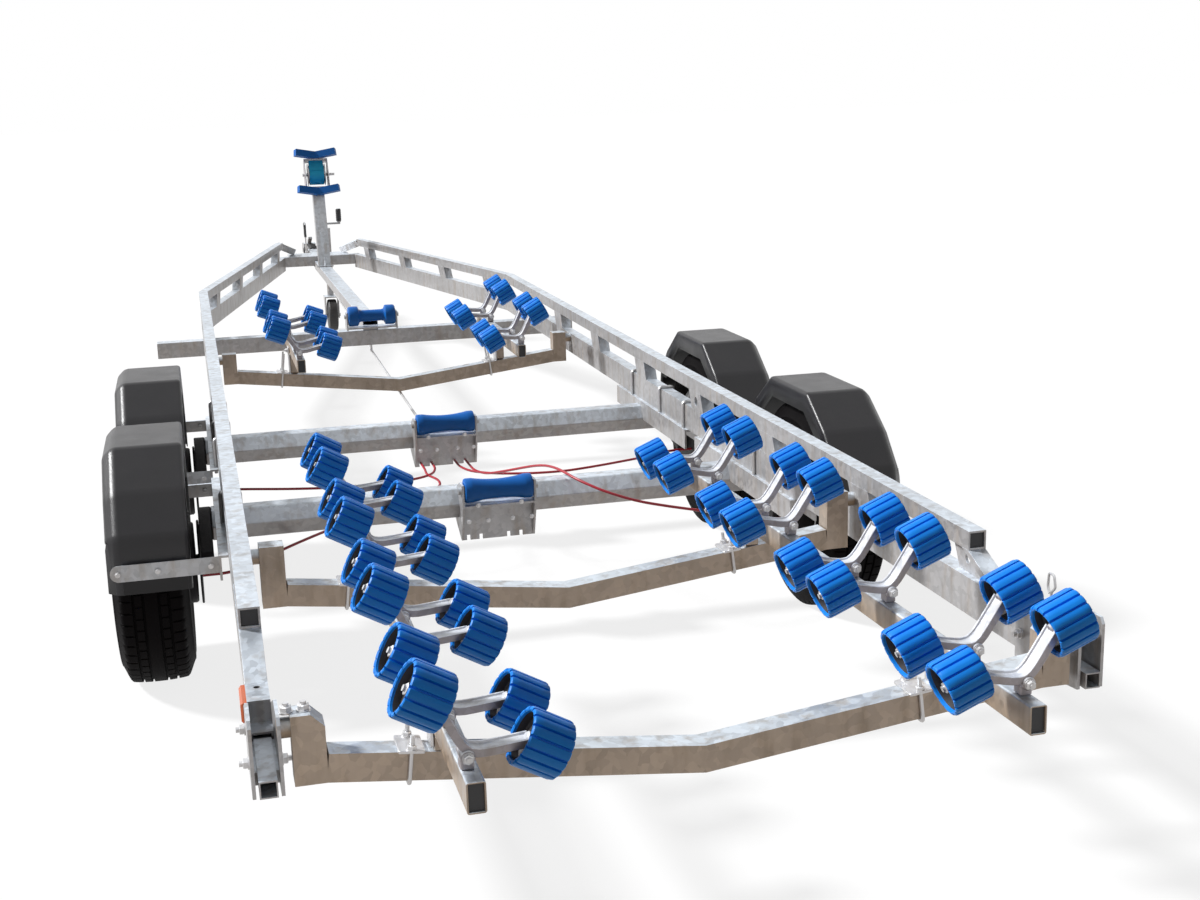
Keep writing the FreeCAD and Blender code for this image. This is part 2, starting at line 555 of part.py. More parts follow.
def keel_rollers():
    brackets = []
    cheek_t, gap, web_rear, web_low = 6.0, 3.0, 65.0, 265.0
    # name, station, height, end radius, waist radius, half length
    table = (("rear_keel_roller", AXLE_STATIONS[0] - 85, 415.0, 35.0, 27.0, 97.0),
             ("middle_keel_roller", AXLE_STATIONS[1] - 85, 415.0, 35.0, 27.0, 97.0),
             ("front_keel_roller", KEEL_REAR - 60, 500.0, 45.0, 26.0, 107.0))
    for name, station, height, end_r, waist_r, half in table:
        on_axle = not name.startswith("front")
        roller = (waisted_roller if on_axle else dumbbell_roller)(half, end_r, waist_r)
        roller = roller.cut(rod(Vector(-half, 0, 0), Vector(half, 0, 0), STUB_RADIUS + RUNNING_CLEARANCE))
        roller.translate(Vector(0, station, height))
        save(name, roller)
        cheek_in, cheek_out = half + gap, half + gap + cheek_t
        spindle = rod(Vector(-cheek_out - 8, station, height), Vector(cheek_out + 8, station, height), STUB_RADIUS)
        shelf = height - end_r - 6
        if on_axle:
            axle = station + 85
            web = axle - web_rear
            outline = [(station - 22, height + 20), (station + 22, height + 20), (axle + 60, 375),
                       (axle + 60, 320), (web + cheek_t, web_low), (web, web_low), (station - 22, shelf - 6)]
            floor = box(-cheek_out, cheek_out, station - 22, axle - 20, shelf - 6, shelf)
            back = box(-cheek_out, cheek_out, web, web + cheek_t, web_low, shelf)
            for x in CABLE_SLOTS:
                back = back.cut(box(x - SLOT_WIDTH / 2, x + SLOT_WIDTH / 2, web, web + cheek_t, web_low, SLOT_TOP))
        else:
            outline = [(station - 25, height + 18), (station + 25, height + 18), (station + 60, height - 29),
                       (station + 60, shelf - 12), (station - 25, shelf - 12)]
            floor = box(-cheek_out, cheek_out, station - 25, station + 60, shelf - 6, shelf)
            back = box(-30, 30, station + 54, station + 60, LOWER_RAIL_BOTTOM, shelf)
        pieces = [floor, back]
        for side, _ in SIDES:
            low, high = sorted((side * cheek_in, side * cheek_out))
            pieces.append(prism(outline, "YZ", low, high))
        bracket = spindle.fuse(pieces)
        for axle in AXLE_STATIONS:
            bracket = bracket.cut(hexagon_prism(axle))
        brackets.append(bracket)
    save("keel_roller_brackets", *brackets)


# ---- winch post, winch and bow stops ------------------------------------------------------------
def winch_post():
    lean = math.radians(POST_LEAN)
    up = Vector(0, math.sin(lean), math.cos(lean))
    foot = Vector(0, POST_FOOT_STATION, LOWER_RAIL_BOTTOM + KEEL_TUBE[1])
    below = 30
    post = beam(foot - up * below, foot + up * POST_LENGTH, POST_TUBE, POST_TUBE, TUBE_WALL)
    post = post.cut(box(-100, 100, foot.y - 200, foot.y + 200, foot.z - 100, foot.z))
    flange = box(-POST_TUBE / 2 - 14, POST_TUBE / 2 + 14, foot.y - 62, foot.y - 44, foot.z, foot.z + 8)
    gusset = prism([(foot.y - 62, foot.z + 8), (foot.y - 20, foot.z + 8), (foot.y - 10, foot.z + 70)], "YZ", -4, 4)
    inside = beam(foot - up * below, foot + up * POST_LENGTH, POST_TUBE - 2, POST_TUBE - 2)
    save("winch_post", post.fuse([flange, gusset.cut(inside)]))

    head = foot + up * POST_LENGTH
    turn = FreeCAD.Placement(head, FreeCAD.Rotation(Vector(1, 0, 0), -POST_LEAN))

    def on_post(shape):
        shape.Placement = turn.multiply(shape.Placement)
        return shape

    # local frame: X right, Y forward of the post, Z up the post, from the middle of its top
    plate_t, depth, high = 5.0, 60.0, WINCH_HEIGHT
    outline = [(-depth + 12, 0), (depth, 0), (depth, high - 30), (depth - 25, high), (-25, high), (-depth, 70),
               (-depth, 20)]
    plates = [on_post(prism(outline, "YZ", side * WINCH_HALF_WIDTH - plate_t / 2,
                            side * WINCH_HALF_WIDTH + plate_t / 2)) for side, _ in SIDES]
    wide = WINCH_HALF_WIDTH + plate_t / 2
    base = on_post(box(-wide, wide, -depth + 12, depth, 0, 6))
    bridge = on_post(box(-wide, wide, -25, depth - 25, high, high + 5))
    frame_solid = base.fuse(plates + [bridge])
    axis = head + turn.Rotation.multVec(Vector(0, 8, 92))
    shaft_r, shell_r, drum_half, wall_r = 9.0, 44.0, 46.0, 52.0
    bore = rod(axis - Vector(100, 0, 0), axis + Vector(100, 0, 0), shaft_r + RUNNING_CLEARANCE)
    save("winch_frame", frame_solid.cut(bore))

    drum = rod(axis - Vector(drum_half, 0, 0), axis + Vector(drum_half, 0, 0), shell_r)
    for side, _ in SIDES:
        cheek = axis + Vector(side * drum_half, 0, 0)
        drum = drum.fuse(rod(cheek, cheek + Vector(side * 4, 0, 0), wall_r))
    # the crank is off: a square drive stands out of the right-hand plate
    end_x, square = WINCH_HALF_WIDTH + 14, 7.0
    shaft = rod(axis - Vector(end_x, 0, 0), axis + Vector(end_x, 0, 0), shaft_r)
    drive = box(end_x, end_x + 26, axis.y - square, axis.y + square, axis.z - square, axis.z + square)
    save("winch_drum", drum.fuse([shaft, drive]))

    stops, pad, arm_length, rise, sweep = [], 40.0, 128.0, 5.0, 18.0
    for lift, ahead in ((-pad / 2 - 8, -POST_TUBE / 2 - pad / 2), (high + 5 + pad / 2, -18.0)):
        arms = []
        for side, _ in SIDES:
            arm = Part.makeBox(arm_length, pad, pad, Vector(0, -pad / 2, -pad / 2))
            arm.rotate(Vector(0, 0, 0), Vector(0, 1, 0), -rise)
            arm.rotate(Vector(0, 0, 0), Vector(0, 0, 1), -sweep)
            if side < 0:
                arm = arm.mirror(Vector(0, 0, 0), Vector(1, 0, 0))
            arms.append(arm)
        vee = arms[0].fuse(arms[1])
        vee.translate(Vector(0, ahead, lift))
        stops.append(on_post(vee).cut([frame_solid, post]))
    save("bow_stops", *stops)


# ---- coupling, jockey wheel and controls --------------------------------------------------------
def coupling():
    top = COUPLING_HEIGHT
    body_end, gaiter_end, tube_r = 8420, 8640, 27.0
    tongue = box(-TONGUE_HALF, TONGUE_HALF, NOSE_TUBE_STATION + NOSE_TUBE / 2, body_end, top - 40, top + 25)
    bed_cut = box(-200, 200, NOSE_TUBE_STATION, 8080, LOWER_RAIL_BOTTOM + LOWER_RAIL_HEIGHT - 10,
                  LOWER_RAIL_BOTTOM + LOWER_RAIL_HEIGHT)
    tube = rod(Vector(0, body_end - 40, top), Vector(0, gaiter_end + 50, top), tube_r)
    head = prism([(gaiter_end, top - 30), (gaiter_end, top + 38), (8700, top + 42), (8800, top + 34),
                  (OVERALL_LENGTH, top + 6), (OVERALL_LENGTH, top - 30)], "YZ", -38, 38)
    latch = prism([(8690, top + 36), (8664, top + 62), (8562, top + 92), (8558, top + 80), (8652, top + 50),
                   (8664, top + 34)], "YZ", -12, 12)
    socket = Part.makeSphere(BALL_RADIUS + 0.5, Vector(0, BALL_STATION, top - 8))
    mouth = rod(Vector(0, BALL_STATION, top - 60), Vector(0, BALL_STATION, top - 8), BALL_RADIUS + 0.5)
    body = tongue.cut(bed_cut).fuse([tube, head, latch])
    save("coupling", body.cut(socket.fuse(mouth)))

    # rubber bellows round the drawbar tube
    folds, low_r, high_r = 7, 34.0, 46.0
    fold = (gaiter_end - body_end) / folds
    sections = [(body_end, low_r)]
    for k in range(folds):
        sections += [(body_end + fold * (k + 0.5), high_r), (body_end + fold * (k + 1), low_r)]
    bellows = ring_loft(sections, 16)
    bellows = bellows.cut(rod(Vector(body_end, 0, 0), Vector(gaiter_end, 0, 0), tube_r))
    bellows.rotate(Vector(0, 0, 0), Vector(0, 0, 1), 90)
    bellows.translate(Vector(0, 0, top))
    save("coupling_gaiter", bellows)

    pivot_y, pivot_z, pivot_r = 8360, top + 8, 14.0
    lever = beam(Vector(-45, pivot_y, pivot_z), Vector(-60, pivot_y - 190, pivot_z + 207), 8, 26)
    pivot = rod(Vector(-TONGUE_HALF, pivot_y, pivot_z), Vector(-52, pivot_y, pivot_z), pivot_r)
    save("handbrake_lever", lever.fuse(pivot))


def jockey_wheel():
    x, y = JOCKEY_X, JOCKEY_STATION
    tube_r, stem_r, tube_low, tube_top = 24.0, 20.0, 300, 650
    mast = rod(Vector(x, y, tube_low), Vector(x, y, tube_top), tube_r)
    bore = rod(Vector(x, y, tube_low), Vector(x, y, tube_top - 10), stem_r + RUNNING_CLEARANCE)
    clamp = box(TONGUE_HALF, x + 34, y - 34, y + 34, COUPLING_HEIGHT - 30, COUPLING_HEIGHT + 20)
    post = clamp.fuse(mast).cut(bore)
    crank = rod(Vector(x, y, tube_top - 10), Vector(x, y, tube_top + 30), 9.0)
    arm = box(x - 8, x + 90, y - 6, y + 6, tube_top + 22, tube_top + 34)
    grip = rod(Vector(x + 82, y, tube_top + 34), Vector(x + 82, y, tube_top + 120), 13.0)
    save("jockey_mast", post.fuse([crank, arm, grip]))

    hub_z, trail = JOCKEY_WHEEL_RADIUS, 55
    crown_low, crown_t, cheek_in, cheek_t = hub_z + JOCKEY_WHEEL_RADIUS + 14, 6, 38, 6
    axle_y = y - trail
    stem = rod(Vector(x, y, crown_low + crown_t), Vector(x, y, tube_top - 50), stem_r)
    crown = box(x - cheek_in - cheek_t, x + cheek_in + cheek_t, y - 90, y + 26, crown_low, crown_low + crown_t)
    cheek = [(axle_y - 20, hub_z - 20), (axle_y + 20, hub_z - 20), (y + 20, crown_low), (y - 86, crown_low)]
    fork = [crown]
    for side, _ in SIDES:
        low, high = sorted((x + side * cheek_in, x + side * (cheek_in + cheek_t)))
        fork.append(prism(cheek, "YZ", low, high))
    pin = rod(Vector(x - 50, axle_y, hub_z), Vector(x + 50, axle_y, hub_z), STUB_RADIUS)
    save("jockey_fork", stem.fuse(fork + [pin]))

    tread = ring_loft([(-30, 80), (-26, 96), (-18, JOCKEY_WHEEL_RADIUS), (18, JOCKEY_WHEEL_RADIUS), (26, 96),
                       (30, 80)], 32)
    tread = tread.cut(rod(Vector(-40, 0, 0), Vector(40, 0, 0), STUB_RADIUS + RUNNING_CLEARANCE))
    tread.translate(Vector(x, axle_y, hub_z))
    save("jockey_wheel", tread)


# ---- brake rod and cables -----------------------------------------------------------------------
def cable(points, radius):
    """Round cable along straight runs joined by the largest tangent arcs that the runs leave room for."""
    points = [Vector(*p) for p in points]
    edges, start, radii = [], points[0], []
    for before, corner, after in zip(points, points[1:], points[2:]):
        arriving, leaving = corner - before, after - corner
        turn = arriving.getAngle(leaving)
        cut = CABLE_BEND_SHARE * min(arriving.Length, leaving.Length)
        bend = cut / math.tan(turn / 2)
        radii.append(round(bend))
        a, b = corner - arriving.normalize() * cut, corner + leaving.normalize() * cut
        inwards = ((a + b) * 0.5 - corner).normalize()
        middle = corner + inwards * bend * (1 / math.cos(turn / 2) - 1)
        edges.append(Part.LineSegment(start, a).toShape())
        edges.append(Part.Arc(a, middle, b).toShape())
        start = b
    edges.append(Part.LineSegment(start, points[-1]).toShape())
    path = Part.Wire(edges)
    ring = Part.Wire(Part.makeCircle(radius, points[0], points[1] - points[0]))
    tube = path.makePipeShell([ring], True, False)
    print("cable radii", radii, "volume ratio %.4f" % (tube.Volume / (math.pi * radius ** 2 * path.Length)))
    return tube


def brake_gear():
    # station and height of the rod: front keel bracket, under the crossbeam, behind the coupling
    slot_y = AXLE_STATIONS[1] - 65
    route = ((slot_y + 30, 285.0), (CROSSBEAM_STATION, 325.0), (7960.0, 415.0))
    ends = [Vector(0, station, z) for station, z in route]
    rod_r, wire_r, hanger_half, bar_half = 5.0, 1.5, 4.0, 94.0
    seat_z = SLOT_TOP - 2
    under = LOWER_RAIL_BOTTOM - CROSSBEAM_TUBE
    hanger = box(-hanger_half, hanger_half, CROSSBEAM_STATION - 12, CROSSBEAM_STATION + 12, route[1][1] - 7, under)
    clevis = box(-hanger_half, hanger_half, 7935, 7980, route[2][1] - 7, COUPLING_HEIGHT - 40)
    equaliser = box(-bar_half, bar_half, route[0][0] - 8, route[0][0], seat_z - 7, seat_z + 13)
    wires = [rod(Vector(x, slot_y, seat_z - 1), Vector(x, route[0][0] - 4, seat_z - 1), wire_r) for x in CABLE_SLOTS]
    save("brake_rod", rod(ends[0], ends[1], rod_r).fuse([rod(ends[1], ends[2], rod_r), hanger, clevis, equaliser]
                                                       + wires))

    plate_x = AXLE_HALF_LENGTH + SUSPENSION_ARM_T
    seat_y = {"front": AXLE_STATIONS[1] - WHEEL_TRAIL - 78, "rear": AXLE_STATIONS[0] - WHEEL_TRAIL - 78}
    s1, s2, s3, s4 = CABLE_SLOTS
    # points of each cable, from its slot in the front keel bracket to the back plate of its wheel
    routes = (
        [(s3, slot_y, seat_z), (s3, 3012, seat_z), (50, 2905, 284), (118, 2818, 291), (225, 2777, 292),
         (335, 2775, 290), (445, 2803, 290), (550, 2842, 289), (655, 2886, 288), (750, seat_y["front"], 287),
         (plate_x, seat_y["front"], 287)],
        [(s4, slot_y, seat_z), (s4, 3012, seat_z), (63, 2902, 286), (82, 2790, 300), (118, 2685, 330),
         (152, 2580, 362), (176, 2475, 392), (190, 2368, 416), (203, 2262, 428), (232, 2165, 417),
         (296, 2098, 392), (385, 2077, 361), (486, 2088, 333), (588, 2098, 308), (684, 2072, 291),
         (752, seat_y["rear"], 287), (plate_x, seat_y["rear"], 287)],
        [(s2, slot_y, seat_z), (s2, 3012, seat_z), (-75, 2914, 284), (-138, 2843, 290), (-238, 2818, 291),
         (-340, 2818, 290), (-445, 2832, 290), (-550, 2865, 289), (-655, 2908, 288), (-750, seat_y["front"], 287),
         (-plate_x, seat_y["front"], 287)],
        [(s1, slot_y, seat_z), (s1, 3012, seat_z), (-96, 2905, 285), (-72, 2810, 290), (-78, 2722, 291),
         (-140, 2640, 291), (-216, 2560, 291), (-300, 2488, 291), (-380, 2420, 291), (-455, 2345, 291),
         (-528, 2268, 291), (-596, 2190, 291), (-664, 2104, 290), (-750, seat_y["rear"], 288),
         (-plate_x, seat_y["rear"], 288)],
    )
    save("brake_cables", *[cable(points, CABLE_RADIUS) for points in routes])


# ---- light board arms and side markers ------------------------------------------------------------
def light_arms_and_markers():
    arms, markers = [], []
    half, wall, plate_t, z = LIGHT_ARM_TUBE / 2, 2.5, 6.0, LIGHT_ARM_HEIGHT
    rail_half = RAIL_TUBE / 2
    sleeve_front, plate_front = LOWER_RAIL_REAR - 6, LOWER_RAIL_REAR + 50
    _, pivot_y, end_z, _, post_height, _ = CRADLE_BEAMS[0]
    pivot_top = end_z - CRADLE_TUBE / 2 + post_height
    rear_edge = pivot_y - 26
    for side, _ in SIDES:
        x = side * RAIL_HALF_SPACING
        sleeve = flat_tube([(LIGHT_ARM_REAR, z), (sleeve_front, z)], "YZ", half, x - half, x + half, wall)
        # the clamp plates reach up behind the rail to carry the pivot of the rear cradle beam
        outline = [(rear_edge, z - 18), (LOWER_RAIL_REAR - 40, z - 32), (plate_front, z - 32),
                   (plate_front, LOWER_RAIL_BOTTOM + LOWER_RAIL_HEIGHT - 8), (pivot_y + 60, pivot_top),
                   (rear_edge + 8, pivot_top), (rear_edge, pivot_top - 12)]
        pieces = []
        for way in (-1, 1):
            low, high = sorted((x + way * rail_half, x + way * (rail_half + plate_t)))
            pieces.append(prism(outline, "YZ", low, high))
            low, high = sorted((x + way * half, x + way * rail_half))
            pieces.append(box(low, high, LIGHT_ARM_REAR + 48, sleeve_front, z - 11, z + 11))
        pivot_z = pivot_top - PIVOT_TUBE_R - 9
        pivot = rod(Vector(side * CRADLE_HALF, pivot_y, pivot_z), Vector(side * RAIL_HALF_SPACING, pivot_y, pivot_z),
                    PIVOT_TUBE_R)
        arms.append(sleeve.fuse(pieces).cut(pivot))

        face = side * (RAIL_HALF_SPACING + rail_half)
        low, high = sorted((face, face + side * 11))
        lens = box(low, high, LOWER_RAIL_REAR + 70, LOWER_RAIL_REAR + 160, LOWER_RAIL_BOTTOM + 30,
                   LOWER_RAIL_BOTTOM + 68)
        long_edges = [e for e in lens.Edges if abs(e.BoundBox.XMin - (face + side * 11)) < 0.01
                      and abs(e.BoundBox.XMax - (face + side * 11)) < 0.01]
        markers.append(lens.makeChamfer(4.0, long_edges))
    save("light_board_arms", *arms)
    save("side_markers", *markers)


os.makedirs("parts", exist_ok=True)
side_frames()
cross_members()
cradle_beams()
bunks_and_rollers()
running_gear()
wheels()
mudguards()
keel_rollers()
winch_post()
coupling()
jockey_wheel()
brake_gear()
light_arms_and_markers()
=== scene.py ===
import json
import math
import bmesh
import bpy
import numpy as np
from mathutils import Matrix, Vector


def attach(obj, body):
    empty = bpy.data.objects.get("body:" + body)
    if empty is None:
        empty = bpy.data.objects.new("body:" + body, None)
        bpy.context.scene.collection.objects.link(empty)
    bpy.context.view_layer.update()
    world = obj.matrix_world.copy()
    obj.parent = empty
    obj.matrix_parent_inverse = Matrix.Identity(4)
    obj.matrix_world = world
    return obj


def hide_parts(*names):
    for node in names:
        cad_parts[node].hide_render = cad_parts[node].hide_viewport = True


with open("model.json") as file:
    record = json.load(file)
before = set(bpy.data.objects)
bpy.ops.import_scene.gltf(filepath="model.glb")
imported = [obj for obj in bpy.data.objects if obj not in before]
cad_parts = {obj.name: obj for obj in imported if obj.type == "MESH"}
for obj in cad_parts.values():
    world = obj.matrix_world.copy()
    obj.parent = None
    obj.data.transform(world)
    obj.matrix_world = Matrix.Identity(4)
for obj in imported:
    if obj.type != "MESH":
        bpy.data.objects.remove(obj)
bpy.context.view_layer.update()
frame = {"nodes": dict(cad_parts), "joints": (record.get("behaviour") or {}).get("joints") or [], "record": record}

record = frame["record"]
joints = {joint["child"]: joint for joint in frame["joints"]}
chassis = "chassis"

# camera: a person's eye height behind the left rear corner
view = {"place": (-0.790, -6.510, 1.532), "yaw": 14.385, "pitch": 13.240, "roll": -1.554, "lens": 47.35}


def addObject(name, data):
    thing = bpy.data.objects.new(name, data)
    bpy.context.scene.collection.objects.link(thing)
    return thing


def aimCamera(settings):
    # forward turns right by the yaw and down by the pitch; right and up then roll about forward
    yaw, pitch, roll = (math.radians(settings[key]) for key in ("yaw", "pitch", "roll"))
    forward = Vector((math.sin(yaw) * math.cos(pitch), math.cos(yaw) * math.cos(pitch), -math.sin(pitch)))
    level = Vector((math.cos(yaw), -math.sin(yaw), 0))
    upright = level.cross(forward)
    right = level * math.cos(roll) + upright * math.sin(roll)
    up = upright * math.cos(roll) - level * math.sin(roll)
    lens = bpy.data.cameras.new("viewer")
    lens.sensor_width = 36
    lens.lens = settings["lens"]
    lens.clip_start, lens.clip_end = 0.05, 200
    camera = addObject("viewer", lens)
    rows = [(right[k], up[k], -forward[k], settings["place"][k]) for k in range(3)]
    camera.matrix_world = Matrix(rows + [(0, 0, 0, 1)])
    bpy.context.scene.camera = camera


aimCamera(view)


# node helpers
def addNode(tree, kind, settings=(), links=()):
    # a node with its settings as (attribute, value) pairs and its inputs as (socket, value or output) pairs
    node = tree.nodes.new(kind)
    for attribute, value in settings:
        setattr(node, attribute, value)
    for socket, value in links:
        if isinstance(value, bpy.types.NodeSocket):
            tree.links.new(value, node.inputs[socket])
        else:
            node.inputs[socket].default_value = value
    return node


def reckon(tree, operation, *values):
    # one step of arithmetic on values or outputs
    return addNode(tree, "ShaderNodeMath", [("operation", operation)], enumerate(values)).outputs[0]


def mixColours(tree, share, first, second):
    links = [(0, share), (6, first), (7, second)]
    return addNode(tree, "ShaderNodeMix", [("data_type", "RGBA")], links).outputs[2]


def noise(tree, vector, scale, detail, roughness=0.5):
    links = [("Vector", vector), ("Scale", scale), ("Detail", detail), ("Roughness", roughness)]
    return addNode(tree, "ShaderNodeTexNoise", (), links).outputs["Fac"]


def remap(tree, value, low, high, first, last, kind="SMOOTHSTEP"):
    # value below low gives first, above high gives last, and in between it runs from one to the other
    links = [("Value", value), ("From Min", low), ("From Max", high), ("To Min", first), ("To Max", last)]
    return addNode(tree, "ShaderNodeMapRange", [("interpolation_type", kind)], links).outputs["Result"]


# floor, daylight and lamps
studio = {
    "floorTint": (0.40, 0.31, 0.23, 1), "floorWhite": 0.82, "floorHalf": 60, "daylight": 0.135, "sun": 4.6,
    "sunSoftness": 7, "sunFrom": (-0.70, 0.30, 0.66), "fill": 12, "fillPlace": (-6.0, -10.0, 3.2),
    "fillAim": (0, -1, 0.5), "fillSize": 5.0,
}


def seenDirectly(tree):
    # 1 for rays that show a surface to the eye, straight or through gloss and glass, and 0 for those that light it
    path = tree.nodes.new("ShaderNodeLightPath").outputs
    glossy = reckon(tree, "MAXIMUM", path["Is Camera Ray"], path["Is Glossy Ray"])
    return reckon(tree, "MAXIMUM", glossy, path["Is Transmission Ray"])


def addLamp(name, kind, strength, facing):
    lamp = addObject(name, bpy.data.lights.new(name, kind))
    lamp.data.energy = strength
    lamp.rotation_mode = "QUATERNION"
    lamp.rotation_quaternion = Vector(facing).to_track_quat("Z", "Y")
    return lamp


def buildStudio(settings):
    world = bpy.data.worlds.new("daylight")
    bpy.context.scene.world = world
    world.use_nodes = True
    tree = world.node_tree
    light = tree.nodes["Background"]
    light.inputs["Color"].default_value = (1, 1, 1, 1)
    level = remap(tree, seenDirectly(tree), 0, 1, settings["daylight"], 1, "LINEAR")
    tree.links.new(level, light.inputs["Strength"])

    far = settings["floorHalf"]
    mesh = bpy.data.meshes.new("floor")
    mesh.from_pydata([(-far, -far, 0), (far, -far, 0), (far, far, 0), (-far, far, 0)], [], [(0, 1, 2, 3)])
    floor = addObject("floor", mesh)
    finish = bpy.data.materials.new("paleFloor")
    finish.use_nodes = True
    tree = finish.node_tree
    tree.nodes.remove(tree.nodes["Principled BSDF"])
    seen = seenDirectly(tree)
    tint = mixColours(tree, seen, settings["floorTint"], (1, 1, 1, 1))
    dull = addNode(tree, "ShaderNodeBsdfDiffuse", (), [("Color", tint)])
    glow = addNode(tree, "ShaderNodeEmission")
    share = reckon(tree, "MULTIPLY", seen, settings["floorWhite"])
    mix = addNode(tree, "ShaderNodeMixShader", (), [(0, share), (1, dull.outputs[0]), (2, glow.outputs[0])])
    tree.links.new(mix.outputs[0], tree.nodes["Material Output"].inputs["Surface"])
    mesh.materials.append(finish)

    addLamp("key", "SUN", settings["sun"], settings["sunFrom"]).data.angle = math.radians(settings["sunSoftness"])
    place = Vector(settings["fillPlace"])
    fill = addLamp("fill", "AREA", settings["fill"], place - Vector(settings["fillAim"]))
    fill.location, fill.data.size = place, settings["fillSize"]
    bpy.context.scene.view_settings.view_transform = "Standard"


buildStudio(studio)
print("camera, floor and lamps placed")


# shader groups shared by several finishes
def newGroup(name, inputs, outputs):
    # an input is a number, a colour, or a vector that has to be linked where its value is None
    tree = bpy.data.node_groups.new(name, "ShaderNodeTree")
    for label, value in inputs.items():
        kind = "Vector" if value is None else "Color" if isinstance(value, tuple) else "Float"
        socket = tree.interface.new_socket(name=label, in_out="INPUT", socket_type="NodeSocket" + kind)
        if value is not None:
            socket.default_value = value
    for label in outputs:
        kind = "NodeSocketColor" if label == "Color" else "NodeSocketFloat"
        tree.interface.new_socket(name=label, in_out="OUTPUT", socket_type=kind)
    return tree, tree.nodes.new("NodeGroupInput").outputs, tree.nodes.new("NodeGroupOutput").inputs


grey = (0.5, 0.5, 0.5, 1)
zincLook = {
    "warpScale": 30, "warp": 0.02, "cloudScale": 3.5, "cloudBand": (0.3, 0.7), "cloudTone": (0.84, 1.14),
    "runStretch": (9, 9, 1.6), "runScale": 4, "runBand": (0.46, 0.72), "facing": (-0.2, 0.75),
    "stain": (0.30, 0.24, 0.18, 1), "smooth": 0.30, "crystalRough": 0.16, "stainRough": 0.35, "bump": 0.0003,
}


def zincSkinGroup(look):
    # each crystal of the zinc has its own grey and clouds lie over them; faces that look up take a pale, bluish
    # painted light, and the sides and faces that look down take a darker, warmer painted shade
    inputs = {"Vector": None, "Up": 0, "Top": grey, "Side": grey, "Crystal Size": 0.016, "Crystal Contrast": 0.12,
              "Stain": 0.35}
    tree, given, made = newGroup("zincSkin", inputs, ("Color", "Roughness", "Height"))
    where = given["Vector"]
    warp = addNode(tree, "ShaderNodeTexNoise", (),
                   [("Vector", where), ("Scale", look["warpScale"]), ("Detail", 3)])
    shifted = addNode(tree, "ShaderNodeMix", [("data_type", "VECTOR")],
                      [(0, look["warp"]), (4, where), (5, warp.outputs["Color"])]).outputs[1]
    cells = addNode(tree, "ShaderNodeTexVoronoi", (),
                    [("Vector", shifted), ("Scale", reckon(tree, "DIVIDE", 1.0, given["Crystal Size"]))])
    tone = addNode(tree, "ShaderNodeSeparateColor", (), [("Color", cells.outputs["Color"])]).outputs[0]
    cloud = noise(tree, where, look["cloudScale"], 6, 0.62)
    stretch = addNode(tree, "ShaderNodeMapping", (), [("Vector", where), ("Scale", look["runStretch"])])
    runs = noise(tree, stretch.outputs["Vector"], look["runScale"], 5)
    # painted light and shade: the colour runs from the painted shade of the sides to the painted light of the tops
    # as the faces turn up, then real stain runs go over it
    paintedShadeAndStain = mixColours(tree, remap(tree, given["Up"], *look["facing"], 0, 1), given["Side"], given["Top"])
    stain = reckon(tree, "MULTIPLY", remap(tree, runs, *look["runBand"], 0, 1), given["Stain"])
    paintedShadeAndStain = mixColours(tree, stain, paintedShadeAndStain, look["stain"])
    bright = remap(tree, cloud, *look["cloudBand"], *look["cloudTone"], "LINEAR")
    spread = reckon(tree, "SUBTRACT", tone, 0.5)
    spread = reckon(tree, "MULTIPLY_ADD", spread, given["Crystal Contrast"], bright)
    scaled = addNode(tree, "ShaderNodeVectorMath", [("operation", "SCALE")], [(0, paintedShadeAndStain), ("Scale", spread)])
    rough = reckon(tree, "MULTIPLY_ADD", tone, look["crystalRough"], look["smooth"])
    tree.links.new(scaled.outputs[0], made["Color"])
    tree.links.new(reckon(tree, "MULTIPLY_ADD", stain, look["stainRough"], rough), made["Roughness"])
    tree.links.new(cloud, made["Height"])
    return tree


def grainGroup(waveScale=14):
    # two sizes of noise added together: a soft unevenness and a fine tooth
    inputs = {"Vector": None, "Size": 0.002, "Unevenness": 0.4}
    tree, given, made = newGroup("mouldGrain", inputs, ("Height", "Mask"))
    tooth = noise(tree, given["Vector"], reckon(tree, "DIVIDE", 1.0, given["Size"]), 2)
    wave = noise(tree, given["Vector"], waveScale, 4)
    tree.links.new(reckon(tree, "MULTIPLY_ADD", wave, given["Unevenness"], tooth), made["Height"])
    tree.links.new(wave, made["Mask"])
    return tree


dustLook = {
    "scale": 11, "patches": (0.38, 0.68), "heights": (0.0, 0.45), "high": 0.25, "facing": (-0.1, 0.9),
    "upright": 0.25, "rough": 0.5,
}


def roadDustGroup(look):
    # dust gathers on what looks up and low down near the road, broken up by noise
    inputs = {"Vector": None, "Up": 0, "Color": grey, "Dust": (0.36, 0.33, 0.29, 1), "Amount": 0.2}
    tree, given, made = newGroup("roadDust", inputs, ("Color", "Mask"))
    patch = remap(tree, noise(tree, given["Vector"], look["scale"], 7, 0.7), *look["patches"], 0, 1)
    height = addNode(tree, "ShaderNodeSeparateXYZ", (), [("Vector", given["Vector"])]).outputs["Z"]
    low = remap(tree, height, *look["heights"], 1.0, look["high"])
    lying = remap(tree, given["Up"], *look["facing"], look["upright"], 1.0)
    mask = reckon(tree, "MULTIPLY", reckon(tree, "MULTIPLY", low, lying), patch)
    mask = reckon(tree, "MULTIPLY", mask, given["Amount"])
    tree.links.new(mixColours(tree, mask, given["Color"], given["Dust"]), made["Color"])
    tree.links.new(mask, made["Mask"])
    return tree


zincSkin, mouldGrain, roadDust = zincSkinGroup(zincLook), grainGroup(), roadDustGroup(dustLook)


